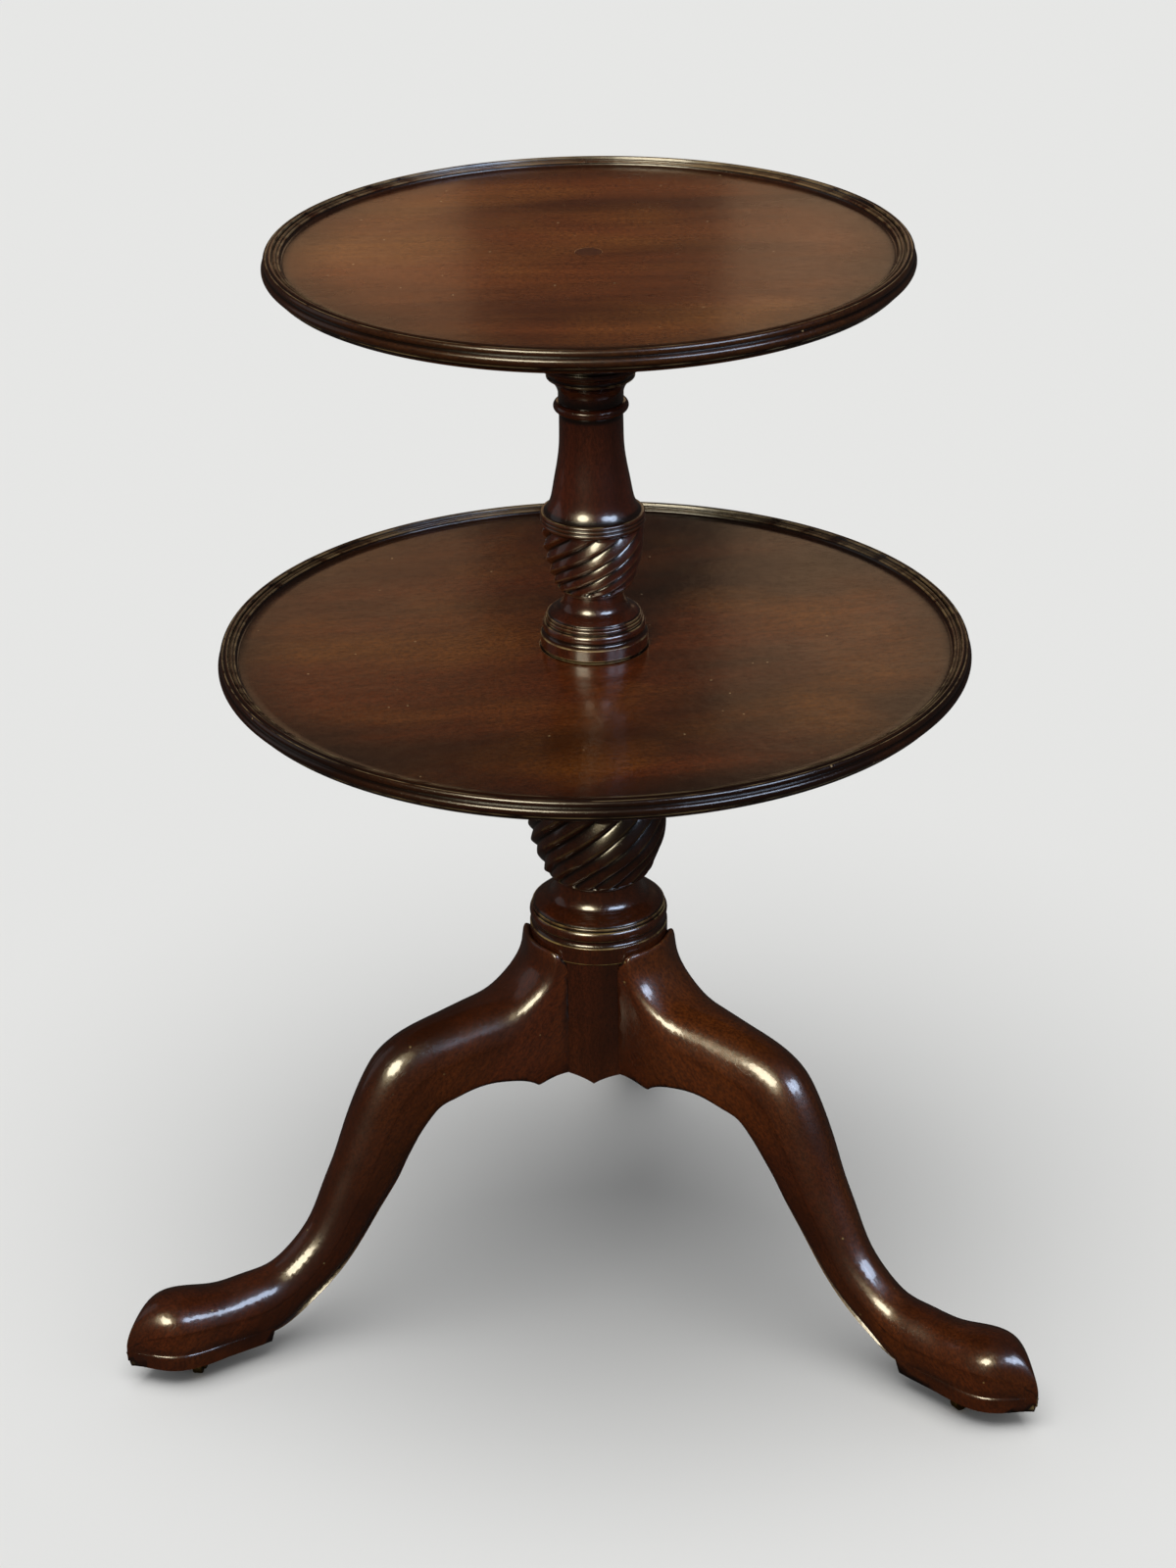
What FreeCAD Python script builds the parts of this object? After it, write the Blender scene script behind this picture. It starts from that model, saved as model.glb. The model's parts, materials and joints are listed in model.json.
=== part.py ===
import FreeCAD, Part
import math
import os

from FreeCAD import Vector

# A two-tier dumbwaiter table in turned and carved mahogany. It stands on three cabriole legs
# with pad feet on small castors, and both trays turn about the column. Millimetres, +Z up,
# the origin on the floor under the column's axis, and the front towards -Y.

os.makedirs("parts", exist_ok=True)

# Clearances
running_fit = 0.05        # between a turned pin and its bore, on the radius
glue_line = 0.10          # between glued or housed faces
swing_gap = 0.30          # between pieces that turn past each other
overrun = 5.0             # how far a cutting shape runs past what it cuts
same_place = 0.0001       # points nearer than this are one

# Heights above the floor and the reach of the feet
lower_rim_height = 591.0
tier_rise = 322.5         # from the lower tray's rim to the upper tray's
drum_bottom_height = 210.0
drum_top_height = 323.0
leg_top_height = 330.0
sole_height = 16.5
leg_reach = 430.0

# Legs
leg_count = 3
leg_names = ["leg_left", "leg_right", "leg_rear"]
foot_names = ["left", "right", "rear"]
first_leg_angle = -150.0
leg_thickness = 68.0
knee_thickness = 54.0
ankle_thickness = 41.0
tenon_root_width = 17.0
tenon_tail_width = 25.0
tenon_depth = 22.0
tenon_shoulder = 25.0     # of solid drum above each dovetail
cusp_reach = 70.0         # where a leg's underside ends in a point beside the drum
arch_rise = 7.5           # of the scallops round the drum's lower edge
arch_depth = 15.0

# Pad feet
foot_width = 59.0
foot_length = 128.0
foot_rise = 44.0          # top of the toe above the sole
sole_thickness = 14.5
sole_taper = 3.5

# Lower column: drum, collar, carved urn, shaft, journal and peg
drum_radius = 55.0
collar_radius = 56.8
collar_band = 12.0
quirk_width = 2.0
quirk_depth = 1.2
collar_torus = 14.0
fillet_height = 1.8
fillet_step = 1.0
dome_rise = 17.0
lower_neck_radius = 31.5
lower_neck_rise = 3.5
lower_ring_radius = 36.0
lower_ring_height = 4.5
lower_urn_radius = 58.0
reed_height = 3.4
reed_swell = 1.1
reed_count = 3
lower_shaft_radius = 36.5
lower_astragal_radius = 42.0
lower_astragal_height = 8.5
lower_capital_radius = 46.0
journal_radius = 18.0
peg_radius = 13.0
peg_height = 54.0

# Upper column
flange_radius = 42.8
flange_height = 11.0
upper_torus = 7.5
upper_dome_rise = 9.0
upper_neck_radius = 22.6
upper_neck_rise = 12.0
upper_ring_radius = 25.6
upper_ring_height = 3.5
upper_urn_radius = 40.8
upper_shaft_radius = 24.9
upper_astragal_radius = 29.2
upper_astragal_height = 9.0
cup_neck_radius = 25.7
cup_neck_height = 8.6
cup_radius = 40.0
cup_height = 19.0
cup_rim_height = 5.0
waist_radius = 23.5
shoulder_radius = 30.0
shoulder_height = 5.0
spigot_radius = 14.0
pin_radius = 8.0

# Trays and the bosses under them
lower_tray_radius = 300.0
upper_tray_radius = 248.4
tray_edge = 20.5          # from the top of the rim to the underside
dish_depth = 6.0
rim_width = 20.0
seat_depth = 1.0          # the turned seat that the upper column stands in
lower_boss_height = 28.0
lower_boss_radius = 78.0
lower_boss_neck = 41.0
upper_boss_height = 26.0
upper_boss_radius = 66.0
upper_boss_neck = 31.0

# Pivot of the top tray
washer_radius = 9.4
washer_thickness = 1.5
plug_radius = 10.0
plug_thickness = 3.5
plug_room = 1.8           # between the washer and the plug above it

# Iron bracket under the drum
bracket_thickness = 3.0
bracket_disc_radius = 27.0
bracket_arm_width = 17.0
bracket_arm_reach = 68.0
bracket_leg_screw_reach = 61.0
bracket_core_screw_reach = 20.0

# Wood screws
bracket_screw_head = 4.0
bracket_screw_head_depth = 2.4
bracket_screw_shank = 2.2
bracket_screw_length = 26.0
lower_boss_screw_head = 4.2
lower_boss_screw_head_depth = 2.5
lower_boss_screw_shank = 2.2
lower_boss_screw_length = 17.0
upper_boss_screw_head = 3.8
upper_boss_screw_head_depth = 2.3
upper_boss_screw_shank = 2.0
upper_boss_screw_length = 16.0
pivot_screw_head = 3.6
pivot_screw_head_depth = 1.2
pivot_screw_shank = 2.0
pivot_screw_length = 30.0
castor_screw_head = 2.5
castor_screw_head_depth = 1.3
castor_screw_shank = 1.3
castor_screw_length = 13.0
slot_width = 0.8
slot_depth = 0.7
boss_screw_count = 4
boss_screw_turn = 45.0
lower_boss_circle = 56.5
upper_boss_circle = 45.5
castor_screw_count = 3
castor_screw_turn = 60.0

# Castors
castor_inset = 63.0       # of the swivel, from the toe's tip
castor_headings = [-90.0, -140.0, -100.0]    # where each wheel trails, at rest
wheel_radius = 7.5
wheel_width = 8.0
castor_trail = 10.0
axle_radius = 1.5
axle_head = 2.4
axle_head_height = 0.8
cheek_thickness = 2.0
cheek_gap = 0.4
cheek_eye_radius = 3.6
crown_gap = 1.2
crown_thickness = 2.6
crown_tail = 7.0
hub_radius = 7.0
hub_height = 2.7
pivot_radius = 3.0
rivet_radius = 4.5
rivet_height = 1.0
plate_thickness = 2.5
plate_radius = 19.6
castor_screw_circle = 14.5
recess_radius = 20.0

# Places that follow from these sizes
sole_top = sole_height + sole_thickness
castor_reach = leg_reach - castor_inset
upper_rim_height = lower_rim_height + tier_rise
lower_surface = lower_rim_height - dish_depth
upper_surface = upper_rim_height - dish_depth
lower_underside = lower_rim_height - tray_edge
upper_underside = upper_rim_height - tray_edge
pillar_shoulder = lower_underside - lower_boss_height
column_shoulder = upper_underside - upper_boss_height
column_bottom = lower_surface - seat_depth + swing_gap
crown_bottom = 2 * wheel_radius + crown_gap
hub_top = crown_bottom + crown_thickness + hub_height
recess_top = hub_top + plate_thickness
pin_top = upper_surface - plug_thickness - plug_room - washer_thickness
washer_ledge = pin_top - swing_gap      # in the top tray, under the washer that holds it down
leg_angles = [first_leg_angle + 360.0 / leg_count * i for i in range(leg_count)]

# Each column's small mouldings have heights of their own. What they leave is shared by the urn,
# the bell above it and the hollow under the tray, which takes the rest.
lower_urn_height_share = 0.506
lower_bell_height_share = 0.319
upper_urn_height_share = 0.305
upper_bell_height_share = 0.4625
lower_foot_height = collar_band + quirk_width + collar_torus + 2 * fillet_height + dome_rise
lower_middle_height = lower_neck_rise + lower_ring_height + reed_count * reed_height + lower_astragal_height
lower_room = pillar_shoulder - drum_top_height - lower_foot_height - lower_middle_height
upper_foot_height = flange_height + quirk_width + upper_torus + 2 * fillet_height + upper_dome_rise
upper_middle_height = upper_neck_rise + upper_ring_height + reed_count * reed_height + upper_astragal_height
upper_cup_height = cup_neck_height + fillet_height + cup_height + cup_rim_height + shoulder_height
upper_room = column_shoulder - column_bottom - upper_foot_height - upper_middle_height - upper_cup_height
lower_urn_height = lower_room * lower_urn_height_share
lower_bell_height = lower_room * lower_bell_height_share
upper_urn_height = upper_room * upper_urn_height_share
upper_bell_height = upper_room * upper_bell_height_share

# Each kind of screw as its head's radius and depth, its shank's radius and its length
bracket_screw = (bracket_screw_head, bracket_screw_head_depth, bracket_screw_shank, bracket_screw_length)
lower_boss_screw = (lower_boss_screw_head, lower_boss_screw_head_depth,
                    lower_boss_screw_shank, lower_boss_screw_length)
upper_boss_screw = (upper_boss_screw_head, upper_boss_screw_head_depth,
                    upper_boss_screw_shank, upper_boss_screw_length)
pivot_screw = (pivot_screw_head, pivot_screw_head_depth, pivot_screw_shank, pivot_screw_length)
castor_screw = (castor_screw_head, castor_screw_head_depth, castor_screw_shank, castor_screw_length)

up = Vector(0, 0, 1)
centre = Vector(0, 0, 0)

# Outlines as shares of the steps that they fill: (radius share, height share)
dome_shares = [(0.13, 0.25), (0.35, 0.52), (0.65, 0.80)]
lower_urn_shares = [(0.32, 0.08), (0.50, 0.19), (0.67, 0.31), (0.84, 0.42), (0.96, 0.60), (1.00, 0.78)]
upper_urn_shares = [(0.33, 0.10), (0.61, 0.28), (0.82, 0.47), (0.96, 0.70), (1.00, 0.85)]
bell_shares = [(0.48, 0.07), (0.66, 0.20), (0.83, 0.42), (0.97, 0.70)]
urn_foot_share = 1.04     # of the ring under an urn
urn_top_share = 0.985
bell_foot_share = 0.93    # of the urn's radius
dome_foot_share = 0.985
dome_top_share = 1.10     # of the neck under the urn
neck_hollow_share = 0.25  # of the neck's rise
capital_hollow_share = 0.25
cup_hollow_share = 0.20
waist_hollow_share = 0.10
screw_rim_share = 0.15    # of the head's depth
screw_shank_share = 0.85  # of the screw's length
screw_point_share = 0.20  # of the shank's radius
boss_grip_share = 0.60    # of a boss screw's length, inside the boss
quarter_arc_share = 0.29  # how far a quarter round swells past its chord, of its radius
rim_foot_share = 0.70     # where the rim meets the underside, of its width
cove_share = 0.20         # of the dish's depth
# The rim from the underside up: (share of its width in from the edge, share of the tray's
# height, and how far the line swells outwards as a share of that height)
rim_line_shares = [
    (0.290, 0.270, 0.083), (0.225, 0.270, 0), (0.225, 0.355, 0), (0.135, 0.956, 0.165),
    (0.450, 1.000, 0.009), (0.510, 0.870, 0), (0.550, 0.870, 0), (0.750, 0.870, 0.088)]
# A boss from the bottom up: (share of the way out from its neck, share of its height, swell)
boss_line_shares = [
    (0.000, 0.200, 0.070), (-0.030, 0.200, 0), (0.676, 0.714, -0.290), (0.676, 0.780, 0),
    (0.914, 0.780, 0), (1.000, 1.000, 0.070)]


class Turning:
    """One side of a turned piece, drawn from the bottom up and then spun about the column's axis."""

    def __init__(self, radius, height):
        self.start = Vector(radius, 0, height)
        self.here = self.start
        self.edges = []

    def to(self, radius, height):
        there = Vector(radius, 0, height)
        if (there - self.here).Length < same_place:
            return self
        self.edges.append(Part.makeLine(self.here, there))
        self.here = there
        return self

    def across(self, radius):
        return self.to(radius, self.here.z)

    def rise(self, height):
        return self.to(self.here.x, self.here.z + height)

    def arc(self, radius, height, swell):
        """An arc that swells outwards from its chord, or inwards where swell is negative."""
        there = Vector(radius, 0, height)
        chord = there - self.here
        outwards = Vector(chord.z, 0, -chord.x).normalize()
        middle = self.here + chord * 0.5 + outwards * swell
        self.edges.append(Part.Arc(self.here, middle, there).toShape())
        self.here = there
        return self

    def reed(self, height, swell):
        return self.arc(self.here.x, self.here.z + height, swell)

    def curve(self, shares, radius, height):
        """A smooth curve to a place, through points given as shares of the way there."""
        there = Vector(radius, 0, height)
        step = there - self.here
        points = [self.here]
        for across_share, rise_share in shares:
            points.append(self.here + Vector(step.x * across_share, 0, step.z * rise_share))
        points.append(there)
        spline = Part.BSplineCurve()
        spline.interpolate(points)
        self.edges.append(spline.toShape())
        self.here = there
        return self

    def solid(self, bore=0):
        self.to(bore, self.here.z)
        self.to(bore, self.start.z)
        if self.start.x > bore:
            self.to(self.start.x, self.start.z)
        return Part.Face(Part.Wire(self.edges)).revolve(centre, up, 360)


def cylinder(radius, bottom, top, x=0, y=0):
    return Part.makeCylinder(radius, top - bottom, Vector(x, y, bottom))


def prism(points, bottom, top):
    """An upright prism on a plan outline of (x, y) points."""
    corners = [Vector(x, y, bottom) for x, y in points]
    face = Part.Face(Part.makePolygon(corners + corners[:1]))
    return face.extrude(Vector(0, 0, top - bottom))


def turned_about_axis(shape, angle):
    copy = shape.copy()
    copy.rotate(centre, up, angle)
    return copy


def moved(shape, x, y, z):
    copy = shape.copy()
    copy.translate(Vector(x, y, z))
    return copy


def united(shapes):
    whole = shapes[0].multiFuse(shapes[1:])
    return whole.removeSplitter()


def screw(sizes, grow=0):
    """A wood screw that points up from its head's face, or with grow the hole that it fits."""
    head_radius, head_depth, shank_radius, length = sizes
    body = Turning(head_radius + grow, 0)
    body.rise(head_depth * screw_rim_share)
    body.to(shank_radius + grow, head_depth + grow)
    body.rise(length * screw_shank_share - head_depth)
    body.to(shank_radius * screw_point_share, length + grow)
    solid = body.solid()
    if grow:
        return solid.fuse(cylinder(head_radius + grow, -overrun, 0))
    slot = Part.makeBox(head_radius * 2, slot_width, slot_depth, Vector(-head_radius, -slot_width / 2, 0))
    return solid.cut(slot)


def around(shape, count, reach, height, first_angle=0.0):
    """Copies of a shape on a circle about the column's axis."""
    return [turned_about_axis(moved(shape, reach, 0, height), first_angle + 360.0 / count * i)
            for i in range(count)]


def save(name, shape):
    shape.exportStep("parts/" + name + ".step")
    print(name, "solids", len(shape.Solids), "volume", round(shape.Volume), "valid", shape.isValid())


# Lower column

def base_mouldings(turning, radius, band, torus):
    """The plain band, quirk, torus and two fillets that both columns have at the foot."""
    turning.rise(band)
    turning.to(radius - quirk_depth, turning.here.z + quirk_width / 2)
    turning.to(radius - fillet_step, turning.here.z + quirk_width / 2)
    turning.reed(torus, fillet_step)
    turning.across(radius - 2 * fillet_step)
    turning.rise(fillet_height)
    turning.across(radius - 3 * fillet_step)
    turning.rise(fillet_height)


def neck_and_ring(turning, neck_radius, neck_rise, ring_radius, ring_height):
    neck_bottom = turning.here.z
    hollow = neck_rise * neck_hollow_share
    turning.arc(neck_radius, neck_bottom + neck_rise / 2, -hollow)
    turning.arc(ring_radius - fillet_step, neck_bottom + neck_rise, -hollow / 2)
    turning.across(ring_radius)
    turning.reed(ring_height, fillet_step / 2)


def reeds(turning, radius):
    turning.across(radius)
    for _ in range(reed_count):
        turning.reed(reed_height, reed_swell)


def make_pillar():
    t = Turning(drum_radius, drum_bottom_height)
    t.to(drum_radius, drum_top_height)
    t.across(collar_radius)
    base_mouldings(t, collar_radius, collar_band, collar_torus)
    t.across(collar_radius * dome_foot_share - 3 * fillet_step)
    t.curve(dome_shares, lower_neck_radius * dome_top_share, t.here.z + dome_rise)
    neck_and_ring(t, lower_neck_radius, lower_neck_rise, lower_ring_radius, lower_ring_height)
    t.across(lower_ring_radius * urn_foot_share)
    t.curve(lower_urn_shares, lower_urn_radius * urn_top_share, t.here.z + lower_urn_height)
    reeds(t, lower_urn_radius * urn_top_share)
    t.across(lower_urn_radius * bell_foot_share)
    t.curve(bell_shares, lower_shaft_radius, t.here.z + lower_bell_height)
    t.across(lower_shaft_radius + fillet_step)
    t.reed(lower_astragal_height, lower_astragal_radius - t.here.x)
    t.across(lower_shaft_radius)
    capital_rise = (pillar_shoulder - t.here.z) / 2
    t.arc(lower_capital_radius, t.here.z + capital_rise, -capital_rise * capital_hollow_share)
    t.arc(lower_capital_radius - fillet_step, pillar_shoulder, fillet_step)
    t.across(journal_radius)
    t.to(journal_radius, column_bottom)
    t.across(peg_radius)
    t.rise(peg_height)
    pillar = t.solid()
    sockets = [turned_about_axis(tenon(glue_line), angle) for angle in leg_angles]
    scallops = [turned_about_axis(arch, angle) for angle in leg_angles for arch in scallop_cutters()]
    cores = core_screw_holes()
    return pillar.cut(Part.makeCompound(sockets)).cut(Part.makeCompound(scallops + cores))


def tenon(grow=0):
    """A leg's dovetail, in the leg's own frame with the leg along +X. grow makes its socket."""
    inner = drum_radius - tenon_depth - grow
    outer = drum_radius + overrun
    flare = (tenon_tail_width - tenon_root_width) / 2
    tail = tenon_tail_width / 2 + grow
    root = tenon_tail_width / 2 - flare * (outer - inner) / tenon_depth + grow
    bottom = drum_bottom_height - (overrun if grow else 0)
    top = drum_top_height - tenon_shoulder + grow
    return prism([(inner, -tail), (outer, -root), (outer, root), (inner, tail)], bottom, top)


def scallop_cutters():
    """The two arches beside a leg, each from the drum's cusp between two legs to the leg's own cusp."""
    half_gap = math.radians(180.0 / leg_count)
    cusp = Vector(drum_radius * math.cos(half_gap), drum_radius * math.sin(half_gap), 0)
    leg_cusp = Vector(cusp_reach, leg_thickness / 2, 0)
    chord = leg_cusp - cusp
    half_chord = chord.Length / 2
    radius = (half_chord ** 2 + arch_rise ** 2) / (2 * arch_rise)
    outwards = Vector(-chord.y, chord.x, 0).normalize()
    middle = (cusp + leg_cusp) * 0.5
    seam = Vector(math.sqrt(drum_radius ** 2 - (leg_thickness / 2) ** 2), leg_thickness / 2, 0)
    inwards_reach = (middle - seam).dot(outwards) + arch_depth
    base = middle - outwards * inwards_reach
    base.z = drum_bottom_height + arch_rise - radius
    one = Part.makeCylinder(radius, inwards_reach + drum_radius, base, outwards)
    return [one, one.mirror(centre, Vector(0, 1, 0))]


# Legs

# Stations from the drum to the toe. Places along the leg are shares of the way from the drum's
# face to the toe's tip. Heights of the top are shares of the way from the sole to the leg's top,
# and heights of the underside are shares of the way from the sole to the drum's underside.
# Each row: top place, top height, underside place, underside height.
leg_line_shares = [
    (-0.0450, 1.000, -0.0450, 0.967),
    (0.0100, 1.000, 0.0130, 0.967),
    (0.0200, 0.995, 0.0350, 0.967),
    (0.0245, 0.957, 0.0560, 0.983),
    (0.0360, 0.917, 0.0800, 1.000),
    (0.0590, 0.883, 0.1100, 1.013),
    (0.0960, 0.854, 0.1470, 1.022),
    (0.1550, 0.841, 0.1930, 1.017),
    (0.2310, 0.823, 0.2330, 0.996),
    (0.3160, 0.796, 0.2620, 0.961),
    (0.3780, 0.750, 0.2830, 0.911),
    (0.4120, 0.695, 0.3010, 0.855),
    (0.4400, 0.627, 0.3210, 0.786),
    (0.4650, 0.553, 0.3430, 0.707),
    (0.4910, 0.465, 0.3660, 0.615),
    (0.5220, 0.376, 0.4110, 0.475),
    (0.5610, 0.269, 0.4670, 0.298),
    (0.6130, 0.194, 0.5320, 0.145),
    (0.6600, 0.156, 0.5940, 0.042)]
# Half widths over the leg's length, as shares of the leg's, the knee's or the ankle's thickness,
# and how square the section is above and below: 2 is an ellipse.
leg_section_shares = [
    ("leg", 1.00, 12.0, 8.0, 0.0),
    ("leg", 1.00, 12.0, 8.0, 1.0),
    ("leg", 1.00, 12.0, 8.0, 1.0),
    ("leg", 1.00, 9.0, 8.0, 1.0),
    ("leg", 1.00, 6.0, 8.0, 0.85),
    ("leg", 0.99, 4.2, 8.0, 0.6),
    ("leg", 0.95, 3.2, 8.0, 0.35),
    ("leg", 0.89, 2.5, 7.0, 0.15),
    ("leg", 0.84, 2.2, 6.0, 0.0),
    ("knee", 1.00, 2.1, 5.0, 0.0),
    ("knee", 0.99, 2.05, 4.5, 0.0),
    ("knee", 0.97, 2.0, 4.0, 0.0),
    ("knee", 0.94, 2.0, 3.6, 0.0),
    ("knee", 0.90, 2.0, 3.2, 0.0),
    ("knee", 0.86, 2.0, 2.9, 0.0),
    ("ankle", 1.07, 2.0, 2.6, 0.0),
    ("ankle", 1.02, 2.0, 2.4, 0.0),
    ("ankle", 1.00, 2.0, 2.2, 0.0),
    ("ankle", 1.02, 2.0, 2.2, 0.0)]
# The foot: places as shares of the foot's length back from the tip, top height as a share of
# the foot's rise, half width as a share of the foot's width, and squareness below.
foot_shares = [
    (0.830, 0.985, 0.985, 0.390, 2.8),
    (0.625, 0.700, 0.920, 0.420, 4.0),
    (0.438, 0.480, 1.000, 0.475, 5.0),
    (0.258, 0.273, 0.990, 0.430, 5.0),
    (0.148, 0.150, 0.820, 0.265, 4.0),
    (0.070, 0.070, 0.570, 0.115, 3.0),
    (0.028, 0.028, 0.350, 0.042, 2.5),
    (0.008, 0.008, 0.140, 0.015, 2.5)]
foot_bottom_share = 0.5      # how deep the toe runs into the sole, of its thickness
widest_share = 0.54          # height of a section's widest line, of its depth
section_point_count = 28
oval = 2.0                   # the squareness of an ellipse
# The underside's arch beside the drum: (place along the arch, rise share)
underside_arch_shares = [(0.15, 0.64), (0.34, 0.94), (0.56, 1.0), (0.80, 0.60)]
underside_arch_length = 79.0
underside_arch_rise = 12.5
underside_arch_end_share = -0.2
# The sole's plan: shares of the foot's length back from the tip and of its width
sole_side_shares = [
    (0.965, 0.315), (0.81, 0.375), (0.65, 0.425), (0.50, 0.485), (0.36, 0.498),
    (0.265, 0.450), (0.150, 0.285), (0.055, 0.085)]


def section_points(top, bottom, half_width, top_square, bottom_square, curl):
    """A closed section from its lowest point round. curl bends it round the drum."""
    widest = bottom + (top - bottom) * widest_share
    points = []
    for i in range(section_point_count):
        angle = 2 * math.pi * i / section_point_count - math.pi / 2
        above = math.sin(angle) > 0
        square = top_square if above else bottom_square
        side = math.copysign(abs(math.cos(angle)) ** (2 / square), math.cos(angle)) * half_width
        far = top if above else bottom
        point = widest + (far - widest) * abs(math.sin(angle)) ** (2 / square)
        bend = point.x - math.sqrt(max(point.x ** 2 - side ** 2, 0))
        points.append(Vector(point.x - curl * bend, side, point.z))
    return points + points[:1]


def skinned(sections):
    """A solid with one smooth skin over closed sections, of which the first and last are flat."""
    surface = Part.BSplineSurface()
    surface.interpolate(sections)
    skin = surface.toShape()
    skin.fixTolerance(same_place)
    rims = [edge for edge in skin.Edges if edge.isClosed()]
    shell = Part.makeShell([skin] + [Part.Face(Part.Wire([rim])) for rim in rims])
    shell.sewShape()
    return Part.makeSolid(shell)


def leg_sections():
    thickness = {"leg": leg_thickness, "knee": knee_thickness, "ankle": ankle_thickness}
    span = leg_reach - drum_radius
    sections = []
    for line, section in zip(leg_line_shares, leg_section_shares):
        top_place, top_rise, low_place, low_rise = line
        part, width_share, top_square, bottom_square, curl = section
        top = Vector(drum_radius + span * top_place, 0, sole_top + (leg_top_height - sole_top) * top_rise)
        low = Vector(drum_radius + span * low_place, 0, sole_top + (drum_bottom_height - sole_top) * low_rise)
        half_width = thickness[part] / 2 * width_share
        sections.append(section_points(top, low, half_width, top_square, bottom_square, curl))
    low_height = sole_top - sole_thickness * foot_bottom_share
    for top_place, low_place, rise_share, width_share, square in foot_shares:
        top = Vector(leg_reach - foot_length * top_place, 0, sole_top + foot_rise * rise_share)
        low = Vector(leg_reach - foot_length * low_place, 0, low_height)
        sections.append(section_points(top, low, foot_width * width_share, oval, square, 0))
    return sections


def sole_face_wire(height, inset):
    """The sole's plan at one height, drawn in by an inset."""
    half = foot_width / 2
    shrink_wide = (half - inset) / half
    shrink_long = (foot_length / 2 - inset) / (foot_length / 2)
    middle = leg_reach - foot_length / 2
    side = []
    for back_share, width_share in sole_side_shares:
        x = middle + (leg_reach - foot_length * back_share - middle) * shrink_long
        side.append(Vector(x, foot_width * width_share * shrink_wide, height))
    tip = Vector(middle + foot_length / 2 * shrink_long, 0, height)
    corner = side[0]
    right = Part.BSplineCurve()
    right.interpolate(side + [tip])
    left = Part.BSplineCurve()
    left.interpolate([tip] + [Vector(p.x, -p.y, p.z) for p in reversed(side)])
    heel = Part.makeLine(Vector(corner.x, -corner.y, height), corner)
    return Part.Wire([right.toShape(), left.toShape(), heel])


def make_leg():
    """One leg in its own frame, along +X."""
    leg = skinned(leg_sections())
    sole = Part.makeLoft([sole_face_wire(sole_height, sole_taper), sole_face_wire(sole_top, 0)], True, True)
    leg = leg.fuse(sole)
    drum = cylinder(drum_radius + glue_line, 0, upper_rim_height)
    collar = cylinder(collar_radius + glue_line, drum_top_height - glue_line, upper_rim_height)
    leg = leg.cut(drum).cut(collar).cut(underside_cutter())
    leg = leg.fuse(tenon().cut(collar))
    leg = leg.cut(Part.makeCompound(scallop_cutters()))
    recess = cylinder(recess_radius, sole_height - overrun, recess_top, castor_reach)
    holes = [moved(hole, castor_reach, 0, 0) for hole in castor_screws(glue_line)]
    holes.append(moved(screw(bracket_screw, glue_line), bracket_leg_screw_reach, 0,
                       drum_bottom_height - bracket_thickness))
    return leg.cut(Part.makeCompound([recess] + holes))


def underside_cutter():
    """What lies below the leg's root: flat under the dovetail, then an arch from the cusp outwards."""
    cusp = Vector(cusp_reach, 0, drum_bottom_height)
    points = [cusp]
    for place_share, rise_share in underside_arch_shares:
        points.append(cusp + Vector(underside_arch_length * place_share, 0, underside_arch_rise * rise_share))
    points.append(cusp + Vector(underside_arch_length, 0, underside_arch_rise * underside_arch_end_share))
    arch = Part.BSplineCurve()
    arch.interpolate(points)
    end = points[-1]
    floor = drum_bottom_height - underside_arch_length
    inner = Vector(0, 0, drum_bottom_height)
    edges = [Part.makeLine(inner, cusp), arch.toShape(), Part.makeLine(end, Vector(end.x, 0, floor)),
             Part.makeLine(Vector(end.x, 0, floor), Vector(0, 0, floor)),
             Part.makeLine(Vector(0, 0, floor), inner)]
    face = Part.Face(Part.Wire(edges))
    face.translate(Vector(0, -leg_thickness, 0))
    return face.extrude(Vector(0, 2 * leg_thickness, 0))


# Iron bracket and its screws

def leg_screws():
    one = moved(screw(bracket_screw), bracket_leg_screw_reach, 0, drum_bottom_height - bracket_thickness)
    return [turned_about_axis(one, angle) for angle in leg_angles]


def core_screws(grow=0):
    return around(screw(bracket_screw, grow), leg_count, bracket_core_screw_reach,
                  drum_bottom_height - bracket_thickness, first_leg_angle + 180.0 / leg_count)


def core_screw_holes():
    return core_screws(glue_line)


def make_bracket():
    bottom = drum_bottom_height - bracket_thickness
    arm_half = bracket_arm_width / 2
    arm_straight = bracket_arm_reach - arm_half
    arm = prism([(0, -arm_half), (arm_straight, -arm_half), (arm_straight, arm_half), (0, arm_half)],
                bottom, drum_bottom_height)
    tip = cylinder(arm_half, bottom, drum_bottom_height, arm_straight)
    arms = [turned_about_axis(piece, angle) for angle in leg_angles for piece in (arm, tip)]
    plate = united([cylinder(bracket_disc_radius, bottom, drum_bottom_height)] + arms)
    hole = moved(screw(bracket_screw, glue_line), bracket_leg_screw_reach, 0, bottom)
    holes = [turned_about_axis(hole, angle) for angle in leg_angles] + core_screw_holes()
    return plate.cut(Part.makeCompound(holes))


# Upper column

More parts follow.
